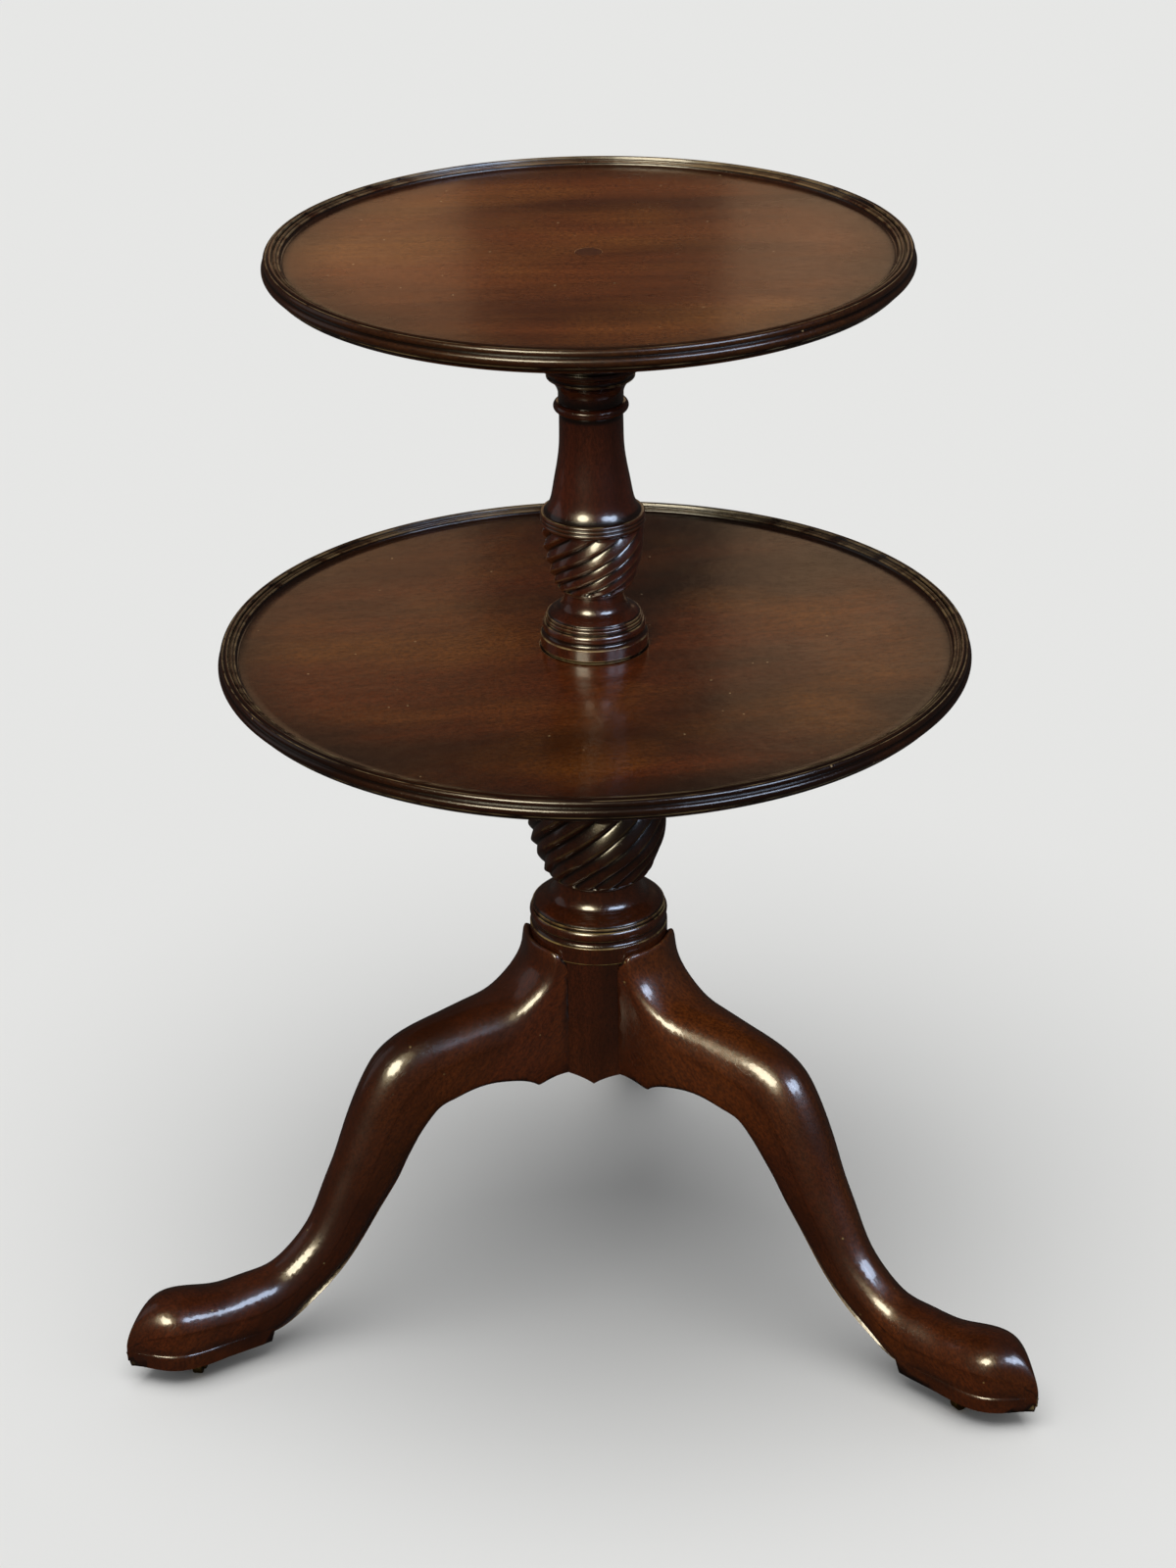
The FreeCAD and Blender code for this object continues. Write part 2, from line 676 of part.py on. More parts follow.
def make_upper_column():
    t = Turning(flange_radius, column_bottom)
    base_mouldings(t, flange_radius, flange_height, upper_torus)
    t.curve(dome_shares, upper_neck_radius * dome_top_share, t.here.z + upper_dome_rise)
    neck_and_ring(t, upper_neck_radius, upper_neck_rise, upper_ring_radius, upper_ring_height)
    t.across(upper_ring_radius * urn_foot_share)
    t.curve(upper_urn_shares, upper_urn_radius * urn_top_share, t.here.z + upper_urn_height)
    reeds(t, upper_urn_radius * urn_top_share)
    t.across(upper_urn_radius * bell_foot_share)
    t.curve(bell_shares, upper_shaft_radius, t.here.z + upper_bell_height)
    t.across(upper_shaft_radius + fillet_step)
    t.reed(upper_astragal_height, upper_astragal_radius - t.here.x)
    t.across(cup_neck_radius)
    t.rise(cup_neck_height)
    t.across(cup_neck_radius + fillet_step / 2)
    t.rise(fillet_height)
    t.arc(cup_radius - fillet_step, t.here.z + cup_height, -cup_height * cup_hollow_share)
    t.across(cup_radius)
    t.reed(cup_rim_height, fillet_step)
    waist_top = column_shoulder - shoulder_height
    waist_height = (t.here.z + waist_top) / 2
    t.arc(waist_radius, waist_height, (waist_height - t.here.z) * cup_hollow_share)
    t.arc(shoulder_radius, waist_top, (t.here.z - column_shoulder) * waist_hollow_share)
    t.to(shoulder_radius, column_shoulder)
    t.across(spigot_radius)
    t.to(spigot_radius, upper_underside - swing_gap)
    t.across(pin_radius)
    t.to(pin_radius, pin_top)
    column = t.solid()
    socket = cylinder(peg_radius + glue_line, column_bottom - overrun, column_bottom + peg_height + glue_line)
    return column.cut(socket).cut(pivot_screw_shape(glue_line))


def pivot_screw_shape(grow=0):
    """The pivot screw points down from the washer's top into the pin."""
    one = screw(pivot_screw, grow)
    one.rotate(centre, Vector(1, 0, 0), 180)
    return moved(one, 0, 0, pin_top + washer_thickness)


# Trays

def follow(turning, line_shares, radius, width, bottom, height):
    """Lines and arcs through places given as shares of a width and a height."""
    for across_share, rise_share, swell_share in line_shares:
        there = (radius + width * across_share, bottom + height * rise_share)
        if swell_share:
            turning.arc(*there, height * swell_share)
        else:
            turning.to(*there)


def tray_solid(radius, rim_top, bore):
    """A dished tray with a reeded nosing, a bead and a cove round its rim."""
    underside = rim_top - tray_edge
    t = Turning(radius - rim_width * rim_foot_share, underside)
    follow(t, rim_line_shares, radius, -rim_width, underside, tray_edge)
    t.arc(radius - rim_width, rim_top - dish_depth, -dish_depth * cove_share)
    return t.solid(bore)


def boss_screws(sizes, circle, underside, grow=0):
    head = underside - sizes[3] * boss_grip_share
    return around(screw(sizes, grow), boss_screw_count, circle, head, boss_screw_turn)


def screw_wells(sizes, circle, underside, boss_bottom):
    """Wells that let the screws' heads into the boss from below."""
    head = underside - sizes[3] * boss_grip_share
    well = cylinder(sizes[0] + glue_line, boss_bottom - overrun, head)
    return around(well, boss_screw_count, circle, 0, boss_screw_turn)


def make_lower_tray():
    tray = tray_solid(lower_tray_radius, lower_rim_height, journal_radius + running_fit)
    seat = cylinder(flange_radius + swing_gap * 2, lower_surface - seat_depth, lower_rim_height)
    return tray.cut(seat).cut(Part.makeCompound(
        boss_screws(lower_boss_screw, lower_boss_circle, lower_underside, glue_line)))


def make_upper_tray():
    tray = tray_solid(upper_tray_radius, upper_rim_height, pin_radius + running_fit)
    well = cylinder(plug_radius + glue_line, washer_ledge, upper_rim_height)
    return tray.cut(well).cut(Part.makeCompound(
        boss_screws(upper_boss_screw, upper_boss_circle, upper_underside, glue_line)))


def make_boss(bottom, underside, neck, radius, bore, sizes, circle):
    """The turned boss that a tray is screwed to."""
    t = Turning(neck, bottom)
    follow(t, boss_line_shares, neck, radius - neck, bottom, underside - bottom)
    boss = t.solid(bore)
    holes = boss_screws(sizes, circle, underside, glue_line) + screw_wells(sizes, circle, underside, bottom)
    return boss.cut(Part.makeCompound(holes))


# Castors, in their own frame with the swivel axis at the origin and the wheel trailing along +X

def castor_screws(grow=0):
    """The plate's screws, their heads flush with its lower face."""
    one = screw(castor_screw, grow)
    return around(one, castor_screw_count, castor_screw_circle, hub_top, castor_screw_turn)


def castor_plate():
    """A round plate with its swivel pin, riveted over below the fork."""
    plate = cylinder(plate_radius, hub_top, recess_top)
    pin = cylinder(pivot_radius, crown_bottom - swing_gap, hub_top)
    rivet = cylinder(rivet_radius, crown_bottom - swing_gap - rivet_height, crown_bottom - swing_gap)
    whole = united([plate, pin, rivet])
    return whole.cut(Part.makeCompound(castor_screws(glue_line)))


def cheek_face_offset():
    return wheel_width / 2 + cheek_gap


def castor_fork():
    """Crown, hub and two cheeks that carry the axle."""
    outer = cheek_face_offset() + cheek_thickness
    crown_top = crown_bottom + crown_thickness
    crown_front = castor_trail + cheek_eye_radius
    crown = prism([(-crown_tail / 2, -outer), (crown_front, -outer), (crown_front, outer),
                   (-crown_tail / 2, outer)], crown_bottom, crown_top)
    tail = cylinder(outer, crown_bottom, crown_top, -crown_tail / 2)
    hub = cylinder(hub_radius, crown_top, hub_top)
    pieces = [crown, tail, hub]
    for side in (-1, 1):
        inner_face = min(side * cheek_face_offset(), side * outer)
        corners = [Vector(castor_trail - cheek_eye_radius, inner_face, wheel_radius),
                   Vector(castor_trail + cheek_eye_radius, inner_face, wheel_radius),
                   Vector(crown_front, inner_face, crown_top),
                   Vector(crown_tail / 2, inner_face, crown_top)]
        cheek = Part.Face(Part.makePolygon(corners + corners[:1])).extrude(Vector(0, cheek_thickness, 0))
        eye = Part.makeCylinder(cheek_eye_radius, cheek_thickness,
                                Vector(castor_trail, inner_face, wheel_radius), Vector(0, 1, 0))
        pieces += [cheek, eye]
    fork = united(pieces)
    bore = cylinder(pivot_radius + running_fit, 0, recess_top)
    axle_hole = Part.makeCylinder(axle_radius + running_fit, 2 * outer + 2 * overrun,
                                  Vector(castor_trail, -outer - overrun, wheel_radius), Vector(0, 1, 0))
    return fork.cut(bore).cut(axle_hole)


def castor_wheel():
    """A solid wheel with rounded edges and a raised hub each side."""
    t = Turning(wheel_radius - fillet_step, -wheel_width / 2)
    t.arc(wheel_radius, -wheel_width / 2 + fillet_step, fillet_step * quarter_arc_share)
    t.to(wheel_radius, wheel_width / 2 - fillet_step)
    t.arc(wheel_radius - fillet_step, wheel_width / 2, fillet_step * quarter_arc_share)
    wheel = t.solid(axle_radius + running_fit)
    wheel.rotate(centre, Vector(1, 0, 0), 90)
    return moved(wheel, castor_trail, 0, wheel_radius)


def castor_axle():
    reach = cheek_face_offset() + cheek_thickness
    t = Turning(axle_head, -reach - axle_head_height)
    t.rise(axle_head_height)
    t.across(axle_radius)
    t.to(axle_radius, reach)
    t.across(axle_head)
    t.rise(axle_head_height)
    axle = t.solid()
    axle.rotate(centre, Vector(1, 0, 0), 90)
    return moved(axle, castor_trail, 0, wheel_radius)


def placed_castor(shape, leg_angle, heading):
    """Turns a castor's piece to a heading and puts it under its foot."""
    copy = turned_about_axis(shape, heading)
    angle = math.radians(leg_angle)
    return moved(copy, castor_reach * math.cos(angle), castor_reach * math.sin(angle), 0)


# Write the pieces
save("pillar", make_pillar())
one_leg = make_leg()
for leg_name, angle in zip(leg_names, leg_angles):
    save(leg_name, turned_about_axis(one_leg, angle))
save("iron_bracket", make_bracket())
save("bracket_screws", Part.makeCompound(leg_screws() + core_screws()))
save("upper_column", make_upper_column())
save("lower_tray", make_lower_tray())
save("lower_boss", make_boss(pillar_shoulder, lower_underside, lower_boss_neck, lower_boss_radius,
                             journal_radius + running_fit, lower_boss_screw, lower_boss_circle))
save("lower_boss_screws", Part.makeCompound(
    boss_screws(lower_boss_screw, lower_boss_circle, lower_underside)))
save("upper_tray", make_upper_tray())
save("upper_boss", make_boss(column_shoulder, upper_underside, upper_boss_neck, upper_boss_radius,
                             spigot_radius + running_fit, upper_boss_screw, upper_boss_circle))
save("upper_boss_screws", Part.makeCompound(
    boss_screws(upper_boss_screw, upper_boss_circle, upper_underside)))
washer = cylinder(washer_radius, pin_top, pin_top + washer_thickness)
save("pivot_washer", washer.cut(pivot_screw_shape(glue_line)))
save("pivot_screw", pivot_screw_shape())
save("centre_plug", cylinder(plug_radius, upper_surface - plug_thickness, upper_surface))

plate_shape = castor_plate()
plate_screws = Part.makeCompound(castor_screws())
fork_shape = castor_fork()
axle_shape = castor_axle()
wheel_shape = castor_wheel()
for foot, angle, heading in zip(foot_names, leg_angles, castor_headings):
    save("castor_plate_" + foot, placed_castor(plate_shape, angle, angle))
    save("castor_screws_" + foot, placed_castor(plate_screws, angle, angle))
    save("castor_fork_" + foot, placed_castor(fork_shape, angle, heading))
    save("castor_axle_" + foot, placed_castor(axle_shape, angle, heading))
    save("castor_wheel_" + foot, placed_castor(wheel_shape, angle, heading))
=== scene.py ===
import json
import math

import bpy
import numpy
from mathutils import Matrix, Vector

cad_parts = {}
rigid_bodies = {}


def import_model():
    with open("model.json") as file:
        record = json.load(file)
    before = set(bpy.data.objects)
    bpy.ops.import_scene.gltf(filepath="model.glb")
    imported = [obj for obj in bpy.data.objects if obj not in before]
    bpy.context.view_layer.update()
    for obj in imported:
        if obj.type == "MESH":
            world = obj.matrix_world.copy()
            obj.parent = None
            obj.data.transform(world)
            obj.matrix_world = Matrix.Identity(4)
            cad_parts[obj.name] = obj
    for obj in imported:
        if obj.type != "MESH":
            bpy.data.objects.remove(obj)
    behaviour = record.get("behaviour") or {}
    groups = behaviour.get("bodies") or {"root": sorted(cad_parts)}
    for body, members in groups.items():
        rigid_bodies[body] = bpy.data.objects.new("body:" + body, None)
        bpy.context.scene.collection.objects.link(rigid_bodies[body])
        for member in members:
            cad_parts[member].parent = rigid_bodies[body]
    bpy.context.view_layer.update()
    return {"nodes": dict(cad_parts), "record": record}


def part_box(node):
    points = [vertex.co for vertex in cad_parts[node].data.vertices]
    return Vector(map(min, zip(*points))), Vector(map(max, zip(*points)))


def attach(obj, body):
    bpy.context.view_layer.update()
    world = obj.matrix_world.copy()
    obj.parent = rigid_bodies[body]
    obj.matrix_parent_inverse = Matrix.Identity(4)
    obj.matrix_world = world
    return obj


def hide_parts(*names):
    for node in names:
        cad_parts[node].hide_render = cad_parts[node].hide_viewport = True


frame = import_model()

# %% [markdown]
# A two-tier dumbwaiter table in dark mahogany. Two dished round trays turn on a carved column,
# and three cabriole legs with pad feet carry it on small brass castors.
#
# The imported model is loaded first, as a fixed frame: it says where every piece is, in metres,
# with +Z up and the front towards -Y. What is added here is the finish of each piece: fine
# mouldings, carving and polish. Heights and radii are read from the frame where it has them.

MM = 0.001

# %% [markdown]
# The camera stands as high as a grown person's eyes, a little right of the front, and looks down on both
# trays. A long lens from 2.5 m keeps the table's proportions. The numbers come from fitting the two tray rims
# and the feet by measure.

# %% Camera
camera_place = Vector((0.2767, -2.5060, 1.6898))
camera_heading = math.radians(6.46)
camera_tilt = math.radians(64.0)
camera_roll = math.radians(-0.93)
film_height = 36.0
lens_length = 79.27

camera_data = bpy.data.cameras.new("camera")
camera_data.sensor_fit = "VERTICAL"
camera_data.sensor_height = film_height
camera_data.lens = lens_length
camera = bpy.data.objects.new("camera", camera_data)
bpy.context.scene.collection.objects.link(camera)
camera.matrix_world = (Matrix.Translation(camera_place)
                       @ Matrix.Rotation(camera_heading, 4, "Z")
                       @ Matrix.Rotation(camera_tilt, 4, "X")
                       @ Matrix.Rotation(camera_roll, 4, "Z"))
bpy.context.scene.camera = camera
bpy.context.scene.view_settings.view_transform = "Standard"
print("camera at", tuple(camera_place))

# %% [markdown]
# Colours are written as the eye reads them, in sRGB hex, and Blender reckons in linear light,
# so one function turns the one into the other. A second small function adds a node with its
# settings and links. Every material below is built from these two.

# %% Colour and node helpers
MIX_FACTOR, MIX_A, MIX_B, MIX_RESULT = 0, 6, 7, 2     # sockets of a Mix node that mixes colours


def linear(hex_colour):
    """An sRGB hex colour as linear red, green, blue and alpha."""
    channels = [int(hex_colour[i:i + 2], 16) / 255 for i in (1, 3, 5)]
    curved = [c / 12.92 if c <= 0.04045 else ((c + 0.055) / 1.055) ** 2.4 for c in channels]
    return (*curved, 1.0)


def add(tree, kind, inputs=None, **settings):
    """Adds a node. Inputs are sockets by name or number, each with a value or another's output."""
    node = tree.nodes.new("ShaderNode" + kind)
    for name, value in settings.items():
        setattr(node, name, value)
    for socket, value in (inputs or {}).items():
        if isinstance(value, bpy.types.NodeSocket):
            tree.links.new(value, node.inputs[socket])
        else:
            node.inputs[socket].default_value = value
    return node


def new_material(name):
    """An empty material, the tree to fill and the output to end it with."""
    material = bpy.data.materials.new(name)
    material.use_nodes = True
    material.node_tree.nodes.clear()
    output = material.node_tree.nodes.new("ShaderNodeOutputMaterial")
    return material, material.node_tree, output


print("mid grey #808080 is", round(linear("#808080")[0], 3), "in linear light")

# %% [markdown]
# The floor is a pale sheet. Polished wood mirrors what is around it, and a white floor would
# turn dark mahogany grey, so the floor and the sky show their full paleness to the camera and
# through glass, and only a small share of it in gloss. All other rays meet a darker room. The
# floor is still a lit surface, so the table's shadow falls on it.

# %% Floor and sky
pale = linear("#e6e6e4")
room = linear("#1e1713")
daylight = linear("#fcfdff")
gloss_share = 0.02
floor_size = 30.0
sky_strength = 0.35


def seen_share(tree):
    """1 for rays of the camera and through glass, a share of it for gloss, 0 for the rest."""
    path = add(tree, "LightPath")
    gloss = add(tree, "Math", {0: path.outputs["Is Glossy Ray"], 1: gloss_share}, operation="MULTIPLY")
    direct = add(tree, "Math", {0: path.outputs["Is Camera Ray"], 1: path.outputs["Is Transmission Ray"]},
                 operation="MAXIMUM")
    both = add(tree, "Math", {0: gloss.outputs[0], 1: direct.outputs[0]}, operation="MAXIMUM")
    return both.outputs[0]


bpy.ops.object.select_all(action="DESELECT")
bpy.ops.mesh.primitive_plane_add(size=floor_size)
floor = bpy.context.object
floor.name = "floor"
floor_paint, tree, output = new_material("matt_pale_floor")
tone = add(tree, "Mix", {MIX_FACTOR: seen_share(tree), MIX_A: room, MIX_B: pale}, data_type="RGBA")
paint = add(tree, "BsdfDiffuse", {"Color": tone.outputs[MIX_RESULT]})
tree.links.new(paint.outputs[0], output.inputs["Surface"])
floor.data.materials.append(floor_paint)

world = bpy.data.worlds.new("room")
bpy.context.scene.world = world
world.use_nodes = True
tree = world.node_tree
tree.nodes.clear()
sky_light = add(tree, "Background", {"Color": daylight, "Strength": sky_strength})
sky_seen = add(tree, "Background", {"Color": pale, "Strength": 1.0})
path = add(tree, "LightPath")
dim_gloss = add(tree, "Background", {"Color": room, "Strength": 1.0})
not_seen = add(tree, "MixShader", {0: path.outputs["Is Glossy Ray"], 1: sky_light.outputs[0],
                                   2: dim_gloss.outputs[0]})
sky = add(tree, "MixShader", {0: seen_share(tree), 1: not_seen.outputs[0], 2: sky_seen.outputs[0]})
sky_output = tree.nodes.new("ShaderNodeOutputWorld")
tree.links.new(sky.outputs[0], sky_output.inputs["Surface"])
print("floor of", floor_size, "m and a sky of strength", sky_strength)

# %% [markdown]
# Gloss needs something to mirror. Lamps near the table would light the floor unevenly, so the
# main ones are suns, which light everything alike and still show as soft discs in the polish.
# A warm one at the left front, with a wide weak glow around it as a shaded lamp has, gives the
# short bright lights on domes, knees and toes. Two cool ones beside each other stand for a wide
# window at the right, and a very soft one overhead, the ceiling, casts the shadow under the
# trays. Two dim panels behind stand where the trays mirror them, and a pale one at the left
# draws the left edges of the column and legs.

# %% Lamps
mid_height = 0.5
trays_height = 0.75


def pointed_away(azimuth, elevation):
    """The direction at these angles: azimuth 0 is +X and -90 the front."""
    turn, lift = math.radians(azimuth), math.radians(elevation)
    return Vector((math.cos(lift) * math.cos(turn), math.cos(lift) * math.sin(turn), math.sin(lift)))


def light(name, kind, away, colour, energy):
    """A light that shines from the direction away."""
    data = bpy.data.lights.new(name, kind)
    data.energy = energy
    data.color = linear(colour)[:3]
    obj = bpy.data.objects.new(name, data)
    bpy.context.scene.collection.objects.link(obj)
    obj.rotation_euler = away.to_track_quat("Z", "Y").to_euler()
    return obj


def sun(name, azimuth, elevation, width, colour, energy):
    """A far round light that looks so many degrees wide."""
    obj = light(name, "SUN", pointed_away(azimuth, elevation), colour, energy)
    obj.data.angle = math.radians(width)


def panel(name, azimuth, elevation, distance, size, colour, watts, shape, aim_height):
    """A soft panel that faces the table's axis."""
    away = pointed_away(azimuth, elevation)
    obj = light(name, "AREA", away, colour, watts)
    obj.location = Vector((0, 0, aim_height)) + away * distance
    obj.data.shape = shape
    obj.data.size, obj.data.size_y = size


sun("warm_lamp", azimuth=-110, elevation=31, width=26, colour="#fff3d4", energy=2.8)
sun("warm_glow", azimuth=-110, elevation=33, width=46, colour="#ffe6a4", energy=0.5)
sun("window_left_half", azimuth=-47, elevation=33, width=19, colour="#cfe2ff", energy=0.95)
sun("window_right_half", azimuth=-27, elevation=33, width=19, colour="#cfe2ff", energy=0.95)
sun("ceiling", azimuth=-99, elevation=79, width=54, colour="#ffffff", energy=2.12)
panel("left_wall", azimuth=172, elevation=20, distance=3.2, size=(1.8, 2.8), colour="#e4ecf2",
      watts=2.6, shape="ELLIPSE", aim_height=mid_height)
panel("back_left_panel", azimuth=106, elevation=17, distance=4.7, size=(1.0, 0.8), colour="#ffc896",
      watts=1.25, shape="RECTANGLE", aim_height=trays_height)
panel("back_right_panel", azimuth=85, elevation=19, distance=4.6, size=(1.15, 0.9), colour="#ffd2a4",
      watts=1.75, shape="RECTANGLE", aim_height=trays_height)

# %% [markdown]
# Crossing shadows of several lamps look restless on a pale floor, and all lamps together would
# light the wood too much. Light linking tells a lamp which objects it lights. The lamps that are
# there for the polish leave the floor alone, and the ceiling lights only the floor, which then
# shows one soft shadow. The panels behind are there for the trays and leave the legs out too.

# %% What each lamp lights
floor_only = bpy.data.collections.new("floor_only")
floor_only.objects.link(floor)
all_but_floor = bpy.data.collections.new("all_but_floor")
no_floor_no_legs = bpy.data.collections.new("no_floor_no_legs")


def leave_out(collection, obj):
    """Keeps the lamps of a collection from lighting obj."""
    collection.objects.link(obj)
    collection.collection_objects[-1].light_linking.link_state = "EXCLUDE"


leave_out(all_but_floor, floor)
leave_out(no_floor_no_legs, floor)
receivers = {"ceiling": floor_only, "back_left_panel": no_floor_no_legs, "back_right_panel": no_floor_no_legs}
for obj in bpy.context.scene.objects:
    if obj.type == "LIGHT":
        lit = receivers.get(obj.name, all_but_floor)
        obj.light_linking.receiver_collection = lit
        print(obj.name, "follows", lit.name)

# %% [markdown]
# Turned pieces are drawn as half a section and spun round the column's axis, as a lathe does.
# An outline could be traced with many points, but a turner thinks in fillets, arcs and hollows,
# so this small class draws with those. Curves that are no arc go through a few points, on a
# spline that bends as a thin batten does.

# %% Outlines of turned pieces, in millimetres
arc_step = math.radians(14)
fewest_arc_steps = 6
same_place = 0.001


class Outline:
    """One side of a turned piece, from the bottom up: points of (radius, height)."""

    def __init__(self, radius, height):
        self.points = [(radius, height)]

    @property
    def here(self):
        """The point that the outline has come to."""
        return self.points[-1]

    def to(self, radius, height):
        """A straight line to a point."""
        if math.dist(self.here, (radius, height)) > same_place:
            self.points.append((radius, height))
        return self

    def across(self, radius):
        """A level line to a radius."""
        return self.to(radius, self.here[1])

    def rise(self, height):
        """An upright line."""
        return self.to(self.here[0], self.here[1] + height)

    def arc(self, radius, height, swell):
        """An arc that swells outwards from its chord, or inwards where swell is negative."""
        start = Vector(self.here)
        chord = Vector((radius, height)) - start
        outwards = Vector((chord.y, -chord.x)).normalized()
        half_turn = 2 * math.atan(2 * swell / chord.length)
        arc_radius = chord.length / 2 / math.sin(half_turn)
        steps = max(fewest_arc_steps, round(abs(2 * half_turn) / arc_step))
        for i in range(1, steps + 1):
            turn = half_turn * (2 * i / steps - 1)
            along = arc_radius * math.sin(turn) + chord.length / 2
            out = arc_radius * (math.cos(turn) - math.cos(half_turn))
            self.to(*(start + chord.normalized() * along + outwards * out))
        return self

    def reed(self, height, swell):
        """A round of so high, which ends above where it began."""
        return self.arc(self.here[0], self.here[1] + height, swell)

    def curve(self, shares, radius, height, steps):
        """A smooth curve through points given as shares of the way to its end."""
        start = numpy.array(self.here)
        way = numpy.array((radius, height)) - start
        knots = numpy.array([start, *[start + way * numpy.array(share) for share in shares], start + way])
        for point in smooth_line(knots, steps)[1:]:
            self.to(*point)
        return self


def smooth_line(knots, steps):
    """Evenly spread points on a natural cubic spline through the knots."""
    spans = numpy.linalg.norm(numpy.diff(knots, axis=0), axis=1)
    place = numpy.concatenate([[0], numpy.cumsum(spans)])
    count = len(knots)
    system = numpy.eye(count)
    change = numpy.zeros_like(knots)
    for i in range(1, count - 1):
        before, after = spans[i - 1], spans[i]
        system[i, i - 1:i + 2] = before, 2 * (before + after), after
        change[i] = 6 * ((knots[i + 1] - knots[i]) / after - (knots[i] - knots[i - 1]) / before)
    bend = numpy.linalg.solve(system, change)
    line = []
    for t in numpy.linspace(0, place[-1], steps + 1):
        i = min(int(numpy.searchsorted(place, t, side="right")) - 1, count - 2)
        span, u = spans[i], t - place[i]
        w = span - u
        line.append((bend[i] * w ** 3 + bend[i + 1] * u ** 3) / (6 * span)
                    + (knots[i] / span - bend[i] * span / 6) * w
                    + (knots[i + 1] / span - bend[i + 1] * span / 6) * u)
    return line


print("an arc takes a point every", round(math.degrees(arc_step)), "degrees")

# %% [markdown]
# No turned edge stays perfectly sharp. A bevel modifier could round them all, but it would also
# cut into the small reeds, so the corners are eased in the outline, by a hair, as sanding leaves
# them. A guard point on each side keeps the wear along an arris narrow.

# %% Eased corners
corner_easing = 0.3
corner_guard = 1.0
rounding = 1 - math.sqrt(0.5)
least_corner = math.radians(22)


def eased(points, closed):
    """The outline with each sharp corner rounded by a hair and guarded on both sides."""
    corners = [Vector(point) for point in points]
    result = []
    for i, corner in enumerate(corners):
        at_end = not closed and i in (0, len(corners) - 1)
        back = corners[i - 1] - corner
        ahead = corners[(i + 1) % len(corners)] - corner
        if at_end or (-back).angle(ahead) < least_corner:
            result.append(corner)
            continue
        ease = min(corner_easing, back.length / 3, ahead.length / 3)
        backwards = back.normalized()
        forwards = ahead.normalized()
        if back.length > 3 * corner_guard:
            result.append(corner + backwards * corner_guard)
        result.append(corner + backwards * ease)
        result.append(corner + (backwards + forwards) * ease * rounding)
        result.append(corner + forwards * ease)
        if ahead.length > 3 * corner_guard:
            result.append(corner + forwards * corner_guard)
    return result


print("corners are eased by", corner_easing, "mm")

# %% [markdown]
# The lathe itself: one vertex is placed and extruded from point to point, and the line is spun
# through a full turn. The seam and the poles are merged, and the normals are turned outwards.
# A Screw modifier would do the same, but the operators leave a plain mesh to carve at once.

# %% The lathe
same_point = 0.00001
smooth_angle = math.radians(32)


def only(obj):
    """Makes obj the one selected and active object."""
    bpy.ops.object.select_all(action="DESELECT")
    obj.select_set(True)
    bpy.context.view_layer.objects.active = obj


def turned(name, outline, columns, closed=False):
    """A turned piece, spun from an outline in millimetres."""
    points = [Vector((p[0] * MM, 0, p[1] * MM)) for p in eased(outline.points, closed)]
    if closed:
        points.append(points[0])
    bpy.ops.object.select_all(action="DESELECT")
    bpy.ops.mesh.primitive_circle_add(vertices=3, radius=MM)
    piece = bpy.context.object
    piece.name = name
    bpy.ops.object.mode_set(mode="EDIT")
    bpy.ops.mesh.select_all(action="SELECT")
    bpy.ops.mesh.merge(type="CENTER")
    bpy.ops.transform.translate(value=points[0])
    for here, there in zip(points, points[1:]):
        bpy.ops.mesh.extrude_region_move(TRANSFORM_OT_translate={"value": there - here})
    bpy.ops.mesh.select_all(action="SELECT")
    bpy.ops.mesh.spin(steps=columns, angle=2 * math.pi, center=(0, 0, 0), axis=(0, 0, 1))
    bpy.ops.mesh.select_all(action="SELECT")
    bpy.ops.mesh.remove_doubles(threshold=same_point)
    bpy.ops.mesh.normals_make_consistent(inside=False)
    bpy.ops.object.mode_set(mode="OBJECT")
    print(name, "is spun from", len(points), "points in", columns, "steps")
    return piece


# %% [markdown]
# Two centuries of dusting wear the polish off every arris and leave dark wax in every groove, and the grooves
# are painted darker still, as shade that falls in hollows.
# To paint that, each vertex of a piece keeps two numbers: how sharply the surface bends
# outwards there, and how sharply inwards. They could be read in the shader as pointiness, but
# an attribute stays with the mesh and doesn't depend on the renderer.

# %% Relief of a surface, kept as attributes
full_bend = 1400.0      # per metre: a round of 0.7 mm radius counts as fully sharp
groove_gain = 2.0       # wax and painted shade show in hollows half as sharp as the arrises that wear
groove_spread = 0.7     # of a groove's darkness reaches the vertices beside it
least_length_squared = 1e-12


def vertex_values(mesh, name):
    """The places (co) or normals (normal) of all vertices, one row for each."""
    values = numpy.zeros(len(mesh.vertices) * 3)
    mesh.vertices.foreach_get(name, values)
    return values.reshape(-1, 3)


def keep_values(mesh, name, values):
    """Keeps one number for each vertex as an attribute."""
    attribute = mesh.attributes.new(name, "FLOAT", "POINT")
    attribute.data.foreach_set("value", numpy.asarray(values, dtype=numpy.float32))


